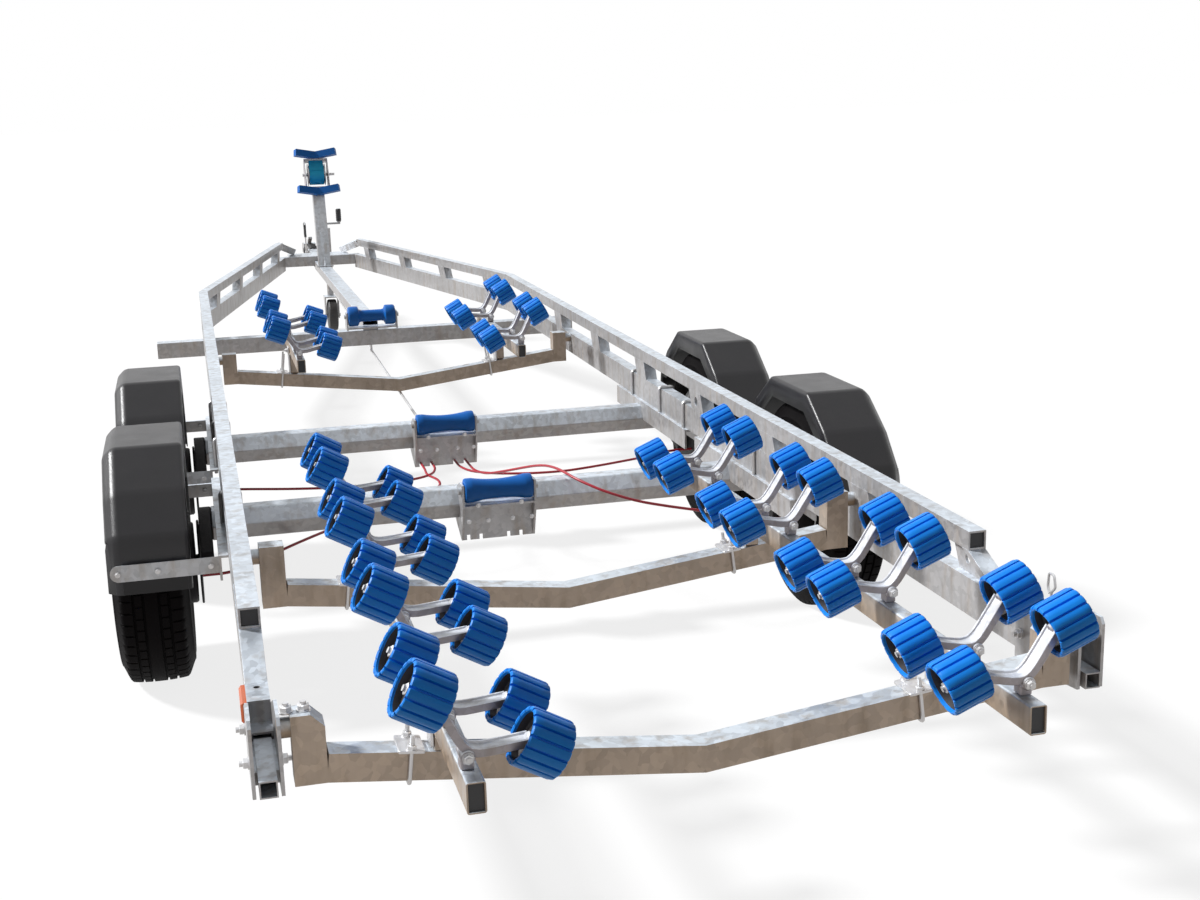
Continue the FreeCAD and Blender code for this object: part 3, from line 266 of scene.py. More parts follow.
def newFinish(name, metallic, roughness, bumpHeight):
    # a material with object coordinates, the way each face looks and a bump node ready for its height
    finish = bpy.data.materials.new(name)
    finish.use_nodes = True
    tree = finish.node_tree
    shader = tree.nodes["Principled BSDF"]
    shader.inputs["Metallic"].default_value = metallic
    shader.inputs["Roughness"].default_value = roughness
    place = tree.nodes.new("ShaderNodeTexCoord")
    up = addNode(tree, "ShaderNodeSeparateXYZ", (), [("Vector", place.outputs["Normal"])]).outputs["Z"]
    bump = addNode(tree, "ShaderNodeBump", (), [("Distance", bumpHeight), ("Strength", 1.0)])
    tree.links.new(bump.outputs["Normal"], shader.inputs["Normal"])
    return finish, tree, shader, place.outputs["Object"], up, bump.inputs["Height"]


def useGroup(tree, group, values):
    return addNode(tree, "ShaderNodeGroup", [("node_tree", group)], values).outputs


# galvanised steel whose top colour is painted light and whose side colour is painted shade, with its own crystals,
# clouds and stain runs
def zincFinish(name, top, side, crystal, contrast, stain, metallic=0.45):
    finish, tree, shader, where, up, height = newFinish(name, metallic, 0.4, zincLook["bump"])
    skin = useGroup(tree, zincSkin, [("Vector", where), ("Up", up), ("Top", (*top, 1)), ("Side", (*side, 1)),
                                     ("Crystal Size", crystal), ("Crystal Contrast", contrast), ("Stain", stain)])
    tree.links.new(skin["Color"], shader.inputs["Base Color"])
    tree.links.new(skin["Roughness"], shader.inputs["Roughness"])
    tree.links.new(skin["Height"], height)
    return finish


mouldLook = {"shift": 0.12, "roughSpread": 0.14}


def mouldedFinish(name, colour, roughness, grainSize, dust, grainHeight=0.0003, metallic=0.0, shine=0.5):
    # a moulded or painted colour that wanders a little in depth, with grain in its surface and road dust on it
    finish, tree, shader, where, up, height = newFinish(name, metallic, roughness, grainHeight)
    shader.inputs["Specular IOR Level"].default_value = shine
    grain = useGroup(tree, mouldGrain, [("Vector", where), ("Size", grainSize)])
    shift, spread = mouldLook["shift"], mouldLook["roughSpread"]
    deeper = tuple(channel * (1 - shift) for channel in colour)
    paler = tuple(min(channel * (1 + shift), 1) for channel in colour)
    tone = mixColours(tree, grain["Mask"], (*deeper, 1), (*paler, 1))
    dusty = useGroup(tree, roadDust, [("Vector", where), ("Up", up), ("Color", tone), ("Amount", dust)])
    tree.links.new(dusty["Color"], shader.inputs["Base Color"])
    rough = reckon(tree, "MULTIPLY_ADD", grain["Mask"], spread, roughness - spread / 2)
    rough = reckon(tree, "MULTIPLY_ADD", dusty["Mask"], dustLook["rough"], rough)
    tree.links.new(rough, shader.inputs["Roughness"])
    tree.links.new(grain["Height"], height)
    return finish


# each row: top colour as painted light, side colour as painted shade, crystal size, crystal contrast, stain, and
# metallic share if unusual
zincs = {
    "railZinc": ((0.64, 0.70, 0.77), (0.38, 0.37, 0.37), 0.013, 0.28, 0.40),
    "cradleZinc": ((0.63, 0.69, 0.75), (0.36, 0.27, 0.19), 0.016, 0.28, 0.55),
    "yokeZinc": ((0.74, 0.77, 0.82), (0.34, 0.31, 0.33), 0.010, 0.22, 0.35, 0.35),
    "boltZinc": ((0.74, 0.75, 0.77), (0.55, 0.54, 0.54), 0.006, 0.05, 0.15, 0.7),
}
# each row: colour, roughness, grain size, dust, and where unusual grain height, metallic share and shine
mouldings = {
    "rollerBlue": ((0.003, 0.225, 0.80), 0.42, 0.0016, 0.0, 0.00012, 0, 0.3),
    # this near-black colour inside the roller mouths is painted shade for the shaded recess, not the hub's own
    # colour
    "rollerRecessShade": ((0.020, 0.018, 0.022), 0.55, 0.0016, 0.3),
    "keelBlue": ((0.003, 0.130, 0.50), 0.46, 0.002, 0.02, 0.0002, 0, 0.3),
    "stopBlue": ((0.003, 0.130, 0.50), 0.5, 0.002, 0.02, 0.0002, 0, 0.3),
    "tyreRubber": ((0.0028, 0.0022, 0.0026), 0.66, 0.0012, 0.02, 0.0003, 0, 0.05),
    "guardPlastic": ((0.0095, 0.009, 0.0115), 0.34, 0.0022, 0.04, 0.0004, 0, 0.4),
    "rimSilver": ((0.50, 0.51, 0.53), 0.38, 0.001, 0.3, 0.00005, 0.55),
    "drumBlack": ((0.012, 0.011, 0.013), 0.55, 0.004, 0.15, 0.0008, 0.1, 0.2),
    "gripBlack": ((0.018, 0.018, 0.020), 0.5, 0.0012, 0.1),
    "cableRed": ((0.42, 0.012, 0.030), 0.34, 0.001, 0.1, 0.00005),
    "strapCyan": ((0.015, 0.52, 0.92), 0.62, 0.001, 0.02),
    "amberLens": ((0.55, 0.10, 0.015), 0.16, 0.003, 0.1, 0.0001),
}
finishes = {name: zincFinish(name, *row) for name, row in zincs.items()}
finishes.update({name: mouldedFinish(name, *row) for name, row in mouldings.items()})
print("finishes ready:", len(finishes))


# shape helpers: a shape is (points, faces, finish number), its points worked out on a grid of two parameters
def gridFaces(rows, columns, loopRows=False):
    # each cell joins a grid point to its neighbours one step on along both parameters; the columns always loop
    i = np.arange(rows if loopRows else rows - 1)[:, None]
    j = np.arange(columns)[None, :]
    nextRow, nextColumn = (i + 1) % rows, (j + 1) % columns
    corners = (i * columns + j, nextRow * columns + j, nextRow * columns + nextColumn, i * columns + nextColumn)
    return np.stack([np.broadcast_to(c, (len(i), columns)) for c in corners], -1).reshape(-1, 4)


def unit(vectors):
    vectors = np.asarray(vectors, float)
    return vectors / np.linalg.norm(vectors, axis=-1, keepdims=True)


def squareAxes(axis):
    # two directions square to the axis and to each other
    axis = unit(axis)
    side = unit(np.cross(axis, (0, 0, 1) if abs(axis[2]) < 0.9 else (0, 1, 0)))
    return axis, side, np.cross(axis, side)


def turned(outline, centre, axis, count=0, finish=0, loop=False, radiusAt=None, angles=None):
    # point = centre + axis x distance + radius x (side x cos angle + other x sin angle), for each outline point
    # and each angle
    outline = np.asarray(outline, float)
    axis, side, other = squareAxes(axis)
    if angles is None:
        angles = np.arange(count) * 2 * math.pi / count
    radii = outline[:, 1][:, None] + np.zeros_like(angles)[None, :]
    if radiusAt is not None:
        radii = radiusAt(angles, radii)
    spokes = side * np.cos(angles)[:, None] + other * np.sin(angles)[:, None]
    points = np.asarray(centre, float) + outline[:, 0][:, None, None] * axis + radii[:, :, None] * spokes[None]
    return points.reshape(-1, 3), gridFaces(len(outline), len(angles), loop), finish


def swept(profile, path, normal, swell=1.0):
    # point = path point + swell x (normal x first + (tangent x normal) x second), for each path and profile point
    profile, path, normal = np.asarray(profile, float), np.asarray(path, float), unit(normal)
    across = unit(np.cross(unit(np.gradient(path, axis=0)), normal))
    size = (np.ones(len(path)) * swell)[:, None, None]
    points = (path[:, None] + profile[None, :, 0, None] * size * normal
              + profile[None, :, 1, None] * size * across[:, None])
    count = len(profile)
    ends = np.array([np.arange(count), (len(path) - 1) * count + np.arange(count)[::-1]])
    return points.reshape(-1, 3), [gridFaces(len(path), count), ends], 0


def circle(radius, count):
    angles = np.arange(count) * 2 * math.pi / count
    return np.stack([radius * np.cos(angles), radius * np.sin(angles)], -1)


def roundedPath(corners, radius, steps=5):
    # straight runs between corners, each corner replaced by a quadratic bend that starts a radius before it
    corners = np.asarray(corners, float)
    share = np.linspace(0, 1, steps)[:, None]
    runs = [corners[:1]]
    for before, corner, after in zip(corners, corners[1:], corners[2:]):
        start = corner + unit(before - corner) * radius
        end = corner + unit(after - corner) * radius
        runs.append((1 - share) ** 2 * start + 2 * share * (1 - share) * corner + share ** 2 * end)
    runs.append(corners[-1:])
    return np.concatenate(runs)


seamGap = 0.00001  # points nearer than this are one point


def makePiece(name, shapes, finishNames, body, stands=(), sharp=32):
    # joins shapes into one mesh, closes its seams and poles, turns its faces outwards and hangs it on its body
    points = np.concatenate([shape[0] for shape in shapes])
    starts = np.cumsum([0] + [len(shape[0]) for shape in shapes[:-1]])
    loops, totals, kinds = [], [], []
    for start, (_, faces, kind) in zip(starts, shapes):
        for block in faces if isinstance(faces, list) else [faces]:
            block = np.asarray(block)
            loops.append((block + start).ravel())
            totals.append(np.full(len(block), block.shape[1]))
            kinds.append(np.broadcast_to(kind, len(block)))
    loops, totals, kinds = np.concatenate(loops), np.concatenate(totals), np.concatenate(kinds)
    mesh = bpy.data.meshes.new(name)
    mesh.vertices.add(len(points))
    mesh.vertices.foreach_set("co", points.astype(np.float32).ravel())
    mesh.loops.add(len(loops))
    mesh.loops.foreach_set("vertex_index", loops.astype(np.int32))
    mesh.polygons.add(len(totals))
    mesh.polygons.foreach_set("loop_start", np.concatenate([[0], np.cumsum(totals)[:-1]]).astype(np.int32))
    mesh.polygons.foreach_set("material_index", kinds.astype(np.int32))
    mesh.update(calc_edges=True)
    work = bmesh.new()
    work.from_mesh(mesh)
    bmesh.ops.remove_doubles(work, verts=work.verts, dist=seamGap)
    bmesh.ops.recalc_face_normals(work, faces=work.faces)
    work.to_mesh(mesh)
    work.free()
    mesh.shade_smooth()
    mesh.set_sharp_from_angle(angle=math.radians(sharp))
    for finish in finishNames:
        mesh.materials.append(finishes[finish])
    piece = addObject(name, mesh)
    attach(piece, body)
    if stands:
        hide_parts(*stands)


# CAD parts that keep their shape: they get their finish, and those with a rounding get softened edges
kept = {
    "railZinc": ("mudguard_stays", "lower_rails", "upper_rails", "frame_spacers", "cross_tubes", "keel_beam",
                 "axle_rails", "axle_beams", "keel_roller_brackets", "light_board_arms", "winch_post", "coupling",
                 "jockey_mast", "jockey_fork"),
    "cradleZinc": ("cradle_beams",),
    "yokeZinc": ("winch_frame",),
    "boltZinc": ("winch_drum", "handbrake_lever", "brake_rod"),
    "guardPlastic": ("mudguards",),
    "drumBlack": ("suspension_arms",),
    "stopBlue": ("bow_stops",),
    "cableRed": ("brake_cables",),
    "gripBlack": ("coupling_gaiter", "jockey_wheel"),
    "amberLens": ("side_markers",),
}
roundings = {
    "mudguards": 0.011, "bow_stops": 0.007, "upper_rails": 0.003, "lower_rails": 0.003, "cradle_beams": 0.003,
    "axle_beams": 0.004, "cross_tubes": 0.004, "keel_beam": 0.003, "winch_post": 0.004, "suspension_arms": 0.004,
    "frame_spacers": 0.002,
}
softening = {"wide": ("mudguards",), "broadFace": 0.012, "flat": 1, "edge": 32, "steps": 2, "wideSteps": 4}
bodyOf = {node: body for body, nodes in record["behaviour"]["bodies"].items() for node in nodes}


def isBroad(face):
    # twice the area over the outline's length is the mean width of a long face
    return 2 * face.calc_area() > softening["broadFace"] * sum(edge.calc_length() for edge in face.edges)


def softened(node, width, finish):
    # stands for a CAD part: its triangles joined into flat faces, with a rounding of this width along every edge,
    # or only along the edges between broad faces where the rounding is wide
    mesh = frame["nodes"][node].data.copy()
    for name in [layer.name for layer in mesh.attributes if layer.name == "custom_normal"]:
        mesh.attributes.remove(mesh.attributes[name])
    work = bmesh.new()
    work.from_mesh(mesh)
    bmesh.ops.remove_doubles(work, verts=work.verts, dist=seamGap)
    bmesh.ops.dissolve_limit(work, angle_limit=math.radians(softening["flat"]), verts=work.verts, edges=work.edges)
    wide = node in softening["wide"]
    chosen = [wide and all(isBroad(face) for face in edge.link_faces) for edge in work.edges]
    work.to_mesh(mesh)
    work.free()
    mesh.shade_smooth()
    mesh.materials.clear()
    mesh.materials.append(finishes[finish])
    piece = addObject("soft_" + node, mesh)
    bevel = piece.modifiers.new("bevel", "BEVEL")
    bevel.limit_method, bevel.angle_limit = "ANGLE", math.radians(softening["edge"])
    bevel.width, bevel.segments, bevel.harden_normals = width, softening["steps"], True
    if wide:
        weights = mesh.attributes.new("bevel_weight_edge", "FLOAT", "EDGE")
        weights.data.foreach_set("value", np.array(chosen, np.float32))
        bevel.limit_method, bevel.segments, bevel.use_clamp_overlap = "WEIGHT", softening["wideSteps"], False
    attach(piece, bodyOf[node])
    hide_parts(node)


for finish, nodes in kept.items():
    for node in nodes:
        if node in roundings:
            softened(node, roundings[node], finish)
        else:
            piece = frame["nodes"][node]
            piece.data.materials.clear()
            piece.data.materials.append(finishes[finish])
print("kept CAD parts dressed:", len(roundings), "with rounded edges")

# wobble rollers: shares say where points lie within one rib, as parts of its width
rollerForm = {
    "ribs": 16, "radius": 0.047, "length": 0.071, "mouth": 0.0385, "recess": 0.022, "halfPitch": 0.099,
    "bore": 0.0102, "groove": 0.0046, "grooveHalf": 0.06, "grooveSlope": 0.05, "crown": 0.0006,
    "shares": (0, .06, .09, .13, .36, .64, .87, .91, .94), "blueDepth": 0.006, "hubRise": 0.003,
    "hubRing": (0.026, 0.0245, 0.0175, 0.0168), "frontStep": -0.178,
}


def ribbedRoller(settings, centre, axis):
    # outline points: distance from the middle, radius, and how much the grooves cut there; they run over the
    # tread, round its edge, into the open end and back through the bore. On the tread the radius drops by a notch
    # that repeats once a rib: depth x (1 - (distance from the groove's edge / slope)^1.5)
    half, outer, mouth = settings["length"] / 2, settings["radius"], settings["mouth"]
    web, bore, blue = half - settings["recess"], settings["bore"], half - settings["blueDepth"]
    rise, ring = web + settings["hubRise"], settings["hubRing"]
    right = [(0, outer, 1), (half * 0.5, outer, 1), (half - 0.005, outer, 1),
             (half - 0.0015, outer - 0.0010, 0.95), (half, outer - 0.003, 0.8),
             (half, mouth + 0.002, 0), (half - 0.002, mouth, 0),
             (blue, mouth - 0.0003, 0), (blue - 0.001, mouth - 0.0005, 0), (web + 0.004, mouth - 0.001, 0),
             (web + 0.001, mouth - 0.004, 0), (web, ring[0], 0), (rise, ring[1], 0), (rise, ring[2], 0),
             (web, ring[3], 0), (web, bore, 0)]
    outline = np.array(right + [(-x, r, w) for x, r, w in right[:0:-1]])
    weight = outline[:, 2][:, None]
    ribs, crown = settings["ribs"], settings["crown"]
    angles = (np.arange(ribs)[:, None] + np.array(settings["shares"])[None]).ravel() * 2 * math.pi / ribs

    def radiusAt(angles, radii):
        away = np.abs((angles * ribs / (2 * math.pi) + 0.5) % 1 - 0.5)
        notch = 1 - np.clip((away - settings["grooveHalf"]) / settings["grooveSlope"], 0, 1) ** 1.5
        return radii - weight * (settings["groove"] * notch + crown * np.cos(2 * math.pi * away) + crown)[None]

    points, faces, _ = turned(outline[:, :2], centre, axis, loop=True, radiusAt=radiusAt, angles=angles)
    # faces deeper in the open end than the blue lip take the second finish, a painted shade for the dark recess
    inner = np.repeat(outline[:, 1] < mouth - 0.0002, len(angles))
    return points, faces, (inner[faces[:, 0]] & inner[faces[:, 2]]).astype(int)


def rollerAxes():
    # middle and axis of every pair: one for each joint, and one a step behind each front joint for the fixed pairs
    turning = [(body, np.array(joint["pos_m"]), unit(joint["axis"])) for body, joint in joints.items()
               if "_rollers_" in body]
    step = np.array((0, rollerForm["frontStep"], 0))
    return turning, [(chassis, centre + step, axis) for body, centre, axis in turning if body.startswith("front")]


def rollerPair(centre, axis):
    return [ribbedRoller(rollerForm, centre + way * rollerForm["halfPitch"] * axis, axis) for way in (-1, 1)]


rollerLooks = ["rollerBlue", "rollerRecessShade"]
turningPairs, fixedPairs = rollerAxes()
for body, centre, axis in turningPairs:
    makePiece("ribbed_" + body, rollerPair(centre, axis), rollerLooks, body, [body])
extra = [roller for _, centre, axis in fixedPairs for roller in rollerPair(centre, axis)]
makePiece("ribbed_front_fixed", extra, rollerLooks, chassis)
print("ribbed rollers:", len(turningPairs + fixedPairs) * 2)


# small hardware
def hexBolt(place, way, size, tail=0.004, finish=0):
    # washer, six-sided head and threaded tail: radius = flat distance / cos of the angle from the nearest flat
    flat, washer, head, shank = size * 0.85, size * 1.15, size * 1.05, size * 0.5
    outline = [(-0.001, washer), (size * 0.22, washer), (size * 0.22, flat), (size * 0.95, flat),
               (head, flat * 0.86), (head, shank), (head + tail, shank), (head + tail, 0)]
    sixSided = np.array([0, 0, 1, 1, 1, 0, 0, 0])[:, None]

    def radiusAt(angles, radii):
        away = (angles + math.pi / 6) % (math.pi / 3) - math.pi / 6
        return radii * (1 + sixSided * (1 / np.cos(away) - 1)[None])

    return turned(outline, place, way, 12, finish, radiusAt=radiusAt)


def bentBar(middle, across, upright, half, back, tips, radius, bend):
    # a round bar bent square: its back joins two legs at one height, and the legs end at the other
    corners = [middle + across * half * way + upright * level
               for way, level in ((1, tips), (1, back), (-1, back), (-1, tips))]
    return swept(circle(radius, 8), roundedPath(corners, bend), np.cross(across, upright))


def roundedBox(wide, high, radius, steps=4):
    # rounded rectangle: a quarter circle of this radius at each corner
    turns = np.arange(4)[:, None] * math.pi / 2 + np.linspace(0, math.pi / 2, steps)[None]
    corners = np.array([(1, 1), (-1, 1), (-1, -1), (1, -1)])[:, None] * (wide / 2 - radius, high / 2 - radius)
    return (corners + radius * np.stack([np.cos(turns), np.sin(turns)], -1)).reshape(-1, 2)


def plate(centre, facing, across, wide, high, thick, corner=0.004):
    # rounded rectangle carried through its thickness, a little smaller at both faces; its width runs across
    steps = np.array((-0.5, -0.38, 0.38, 0.5)) * thick
    path = np.asarray(centre, float) + steps[:, None] * unit(facing)
    shrink = 1 - np.array((1, 0, 0, 1)) * 0.25 * thick / max(wide, high)
    return swept(roundedBox(wide, high, corner), path, across, shrink)


def barOutline(low, high, radius, chamfer):
    # a round bar's outline: from its axis out over a small chamfer, along, and back over another
    return [(low, 0), (low, radius - chamfer), (low + chamfer, radius), (high - chamfer, radius),
            (high, radius - chamfer), (high, 0)]


def rodShape(start, end, radius, finish=0, count=10):
    start, end = np.asarray(start, float), np.asarray(end, float)
    length = np.linalg.norm(end - start)
    outline = barOutline(0, length, radius, min(radius * 0.25, length * 0.2))
    return turned(outline, start, end - start, count, finish)


# bunk beams and the bent beams under them: place along the trailer, height of the ends and of the middle
bunkForm = {
    "wide": 0.030, "high": 0.050, "wall": 0.003, "corner": 0.004, "rearEnd": -4.42, "rearTop": 0.548, "drop": 0.013,
    "frontTop": 0.546, "frontFrom": -1.5, "packerDeep": 0.046, "packerCorner": 0.003, "sunk": 0.001,
    "runs": (
        (0.452, (-4.419, -2.600), ("rear", "middle")),
        (0.418, (-0.640, 0.245), ("front",)),
    ),
}
cradles = {"rear": (-4.084, 0.461, 0.387), "middle": (-3.083, 0.436, 0.360), "front": (-0.171, 0.417, 0.340)}
cradleForm = {"half": 0.641, "deep": 0.050}


def bunkTopAt(y):
    # the rear bunks fall by a fixed share of the way ahead; the front ones are level
    if y > bunkForm["frontFrom"]:
        return bunkForm["frontTop"]
    return bunkForm["rearTop"] - bunkForm["drop"] * (y - bunkForm["rearEnd"])


def cradleTop(name, x):
    # the top of a bent beam: middle height + rise x distance from the middle + half its depth, square to its slope
    _, endZ, midZ = cradles[name]
    rise = (endZ - midZ) / cradleForm["half"]
    return midZ + rise * abs(x) + cradleForm["deep"] / 2 * math.hypot(1, rise), rise


# roller yokes: a channel bar bent into a wide bow, on a pivot boss and a stem, with a stub axle at either tip
yokeForm = {
    "bow": ((.0790, -.0010), (.0560, -.0170), (.0400, -.0282), (.0300, -.0350), (.0220, -.0402), (.0130, -.0447),
        (.0050, -.0472), (0, -.0478)),
    "section": ((-.0160, -.0065), (.0160, -.0065), (.0170, -.0055), (.0170, .0062), (.0162, .0070), (.0125, .0070),
        (.0112, .0040), (-.0112, .0040), (-.0125, .0070), (-.0162, .0070), (-.0170, .0062), (-.0170, -.0055)),
    "pivotDrop": 0.056, "boss": 0.0115, "bossHalf": 0.021, "chamfer": 0.0015, "stemWide": 0.021, "stemDeep": 0.024,
    "stemCorner": 0.003, "stemGap": 0.004, "sunk": 0.0005, "stub": 0.010, "stubIn": 0.072, "stubOut": 0.1175,
    "washer": 0.016, "washerThick": 0.003, "washerAt": 0.1130, "nut": 0.0105, "nutIn": 0.001, "pin": 0.0080,
    "pinTail": 0.002,
}


def yokeShapes(settings):
    # bow point = middle of the pair + axis x first + normal x second; the channel section is carried along it
    bars, bolts = [], []
    half = np.array(settings["bow"])
    bow = np.concatenate([half * (-1, 1), half[-2::-1]])
    stub, long, thick = settings["stub"], settings["bossHalf"], settings["washerThick"]
    boss = barOutline(-long, long, settings["boss"], settings["chamfer"])
    washer = [(0, stub * 0.9), (0, settings["washer"]), (thick, settings["washer"]), (thick, stub * 0.9)]
    for _, centre, axis in turningPairs + fixedPairs:
        normal = np.array((-axis[2], 0, axis[0])) * np.sign(axis[0])
        bars.append(swept(settings["section"], centre + bow[:, :1] * axis + bow[:, 1:] * normal, (0, 1, 0)))
        pivot = centre - normal * settings["pivotDrop"]
        bars.append(turned(boss, pivot, (0, 1, 0), 20))
        bottom, top = bunkTopAt(centre[1]) - settings["sunk"], pivot[2] - settings["stemGap"]
        bars.append(plate((pivot[0], pivot[1], (top + bottom) / 2), (0, 0, 1), (1, 0, 0), settings["stemWide"],
                          settings["stemDeep"], top - bottom, settings["stemCorner"]))
        for way in (-1, 1):
            out = way * axis
            bars.append(rodShape(centre + out * settings["stubIn"], centre + out * settings["stubOut"], stub,
                                 count=16))
            bars.append(turned(washer, centre + out * settings["washerAt"], out, 20, loop=True))
            bolts.append(hexBolt(centre + out * (settings["stubOut"] - settings["nutIn"]), out, settings["nut"]))
            bolts.append(hexBolt(pivot + np.array((0, way * long, 0)), (0, way, 0), settings["pin"],
                                 settings["pinTail"]))
    return bars, bolts


bars, bolts = yokeShapes(yokeForm)
makePiece("bent_yokes", bars, ["yokeZinc"], chassis, ["roller_yokes"])
makePiece("yoke_nuts", bolts, ["boltZinc"], chassis)
print("yokes:", len(turningPairs + fixedPairs))

# tyres: shares say where points lie within one pitch of the tread, bands how far out its blocks are cut
tyreForm = {
    "radius": 0.304, "crown": 0.004, "treadHalf": 0.064, "flatShare": 0.85, "pitches": 58,
    "shares": (0, .10, .13, .47, .50, .60, .63, .97), "grooves": (-0.043, -0.019, 0.019, 0.043),
    "grooveWide": 0.007, "grooveDeep": 0.0065, "grooveSlope": 0.0008, "cutDeep": 0.005,
    "shoulderBand": (0.0465, 0.0745, 0.0755), "shoulderFrom": 0.291, "middleBand": (0.022, 0.040),
    "middleShare": 0.7, "earlyCut": (-1, 0.12), "lateCut": (0.48, 0.62),
    "wall": ((.070, .2985), (.075, .293), (.0775, .288), (.0815, .279), (.086, .268), (.0905, .258), (.0925, .2555),
        (.0915, .252), (.0945, .236), (.0945, .218), (.092, .203), (.089, .192), (.0875, .190), (.0845, .186),
        (.082, .178), (.0805, .1662)),
}
wheels = {body: np.array(joint["pos_m"]) for body, joint in joints.items()
          if body.endswith("_wheel") and body != "jockey_wheel"}


def tyreShape(settings, centre, outward):
    # tread radius = radius - crown x (distance from the middle / tread half)^2, less the depth of a groove or cut
    half, wide, deep = settings["treadHalf"], settings["grooveWide"] / 2, settings["grooveDeep"]
    flat, slope = half * settings["flatShare"], settings["grooveSlope"]
    rows = [(-half, 0), (-flat, 0)]
    for groove in settings["grooves"]:
        rows += [(groove - wide, 0), (groove - wide + slope, deep),
                 (groove + wide - slope, deep), (groove + wide, 0)]
    rows = np.array(rows + [(flat, 0), (half, 0)])
    crown = settings["crown"] * (rows[:, 0] / half) ** 2
    tread = np.stack([rows[:, 0], settings["radius"] - crown - rows[:, 1]], -1)
    wall = np.array(settings["wall"])
    outline = np.concatenate([wall[::-1] * (-1, 1), tread, wall])
    away, far = np.abs(outline[:, 0]), outline[:, 1]
    start, fade, end = settings["shoulderBand"]
    shoulder = np.select([away > end, away > fade, away > start], [0, 0.5, 1], 0.0)
    shoulder = shoulder * (far > settings["shoulderFrom"])
    low, high = settings["middleBand"]
    middle = (away > low) & (away < high) & (far > settings["radius"] - settings["crown"])
    pitches, shares = settings["pitches"], np.array(settings["shares"])
    angles = ((np.arange(pitches)[:, None] + shares[None]) / pitches * 2 * math.pi).ravel()
    early, late = (np.tile((shares > first) & (shares < last), pitches)
                   for first, last in (settings["earlyCut"], settings["lateCut"]))
    cuts = shoulder[:, None] * early[None] + settings["middleShare"] * middle[:, None] * late[None]
    return turned(outline, centre, outward, loop=True, angles=angles,
                  radiusAt=lambda angles, radii: radii - settings["cutDeep"] * cuts)


for body, centre in wheels.items():
    outward = (math.copysign(1, centre[0]), 0, 0)
    makePiece("treaded_" + body, [tyreShape(tyreForm, centre, outward)], ["tyreRubber"], body,
              [body.replace("wheel", "tyre")], 40)
print("tyres:", len(wheels))

# wheel rims, hubs and brake drums
rimForm = {
    "lip": ((.0825, .165), (.0835, .1685), (.0858, .170), (.0872, .1685), (.0865, .163), (.080, .158), (.062, .155),
        (.050, .140), (-.030, .138), (-.045, .154), (-.080, .158), (-.0865, .163), (-.0872, .1685), (-.0858, .170),
        (-.0835, .1685), (-.0825, .165)),
    "thick": 0.003,
    "dish": ((0, .020), (.070, .020), (.075, .026), (.100, .040), (.125, .045), (.1395, .030)),
    "holes": 10, "holeAt": 0.112, "holeRadius": 0.012, "holeBand": (0.094, 0.130), "steps": 6, "edge": 0.0006,
    "inside": (0, 0.040, 0.068, 0.070, 0.072, 0.075, 0.085), "outside": (0.1345, 0.1395),
    "drum": ((.018, .034), (.018, .100), (.012, .108), (-.020, .108), (-.022, .105), (-.030, .105), (-.032, .108),
        (-.108, .108), (-.113, .104), (-.113, .0205), (.034, .0205), (.034, .031), (.0345, .034)),
    "cap": ((.030, .0345), (.040, .034), (.042, .031), (.054, .029), (.060, .022), (.0615, .010), (.0615, 0)),
    "nuts": 5, "nutCircle": 0.056, "nut": 0.0115, "nutAt": 0.0198, "nutTurn": 0.3, "lipNarrow": 0.985,
}


def dishAt(radii):
    # distance of the dish's front along the axle at these radii
    return np.interp(radii, *np.array(rimForm["dish"]).T)


def dishShape(settings, centre, outward):
    # the ring of holes is made of equal sectors: point = hole edge x (1 - t) + sector edge x t, front and back;
    # the rest of the dish is turned, and its distance along the axis follows the dish profile at every radius
    holes, steps, thick = settings["holes"], settings["steps"], settings["thick"]
    low, high = settings["holeBand"]
    reach, share = math.pi / holes, np.arange(steps) / steps
    radii = (low + 0 * share, low + (high - low) * share, high + 0 * share, high - (high - low) * share)
    angles = (-reach + 2 * reach * share, reach + 0 * share, reach - 2 * reach * share, -reach + 0 * share)
    radii, angles = np.concatenate(radii)[:, None], np.concatenate(angles)
    flat = radii * np.stack([np.cos(angles), np.sin(angles)], -1) - (settings["holeAt"], 0)
    mix = np.array((1, 0.5, 0.12, 0, 0, 0.12, 0.5, 1))[:, None, None]
    grid = unit(flat) * settings["holeRadius"] * (1 - mix) + flat * mix + (settings["holeAt"], 0)
    radii, angles = np.linalg.norm(grid, axis=-1), np.arctan2(grid[..., 1], grid[..., 0])
    edge = settings["edge"]
    back = np.array((0, 0, 0, edge, thick - edge, thick, thick, thick))[:, None]
    distance = dishAt(radii) - back
    angles = angles[None] + np.arange(holes)[:, None, None] * 2 * reach
    axis, side, other = squareAxes(outward)
    points = (np.asarray(centre, float) + distance[None, ..., None] * axis
              + radii[None, ..., None] * (side * np.cos(angles)[..., None] + other * np.sin(angles)[..., None]))
    count = len(mix) * 4 * steps
    cells = gridFaces(len(mix), 4 * steps)[None] + np.arange(holes)[:, None, None] * count
    around = -reach + np.arange(holes * steps) * 2 * math.pi / (holes * steps)
    inner, outer = np.array((*settings["inside"], low)), np.array((high, *settings["outside"]))
    face, band = (np.stack([dishAt(ring), ring], -1) for ring in (inner, outer))
    ring = np.concatenate([band, band[::-1] - (thick, 0)])
    return [(points.reshape(-1, 3), cells.reshape(-1, 4), 0),
            turned(face, centre, outward, angles=around),
            turned(face - (thick, 0), centre, outward, angles=around),
            turned(ring, centre, outward, angles=around)]


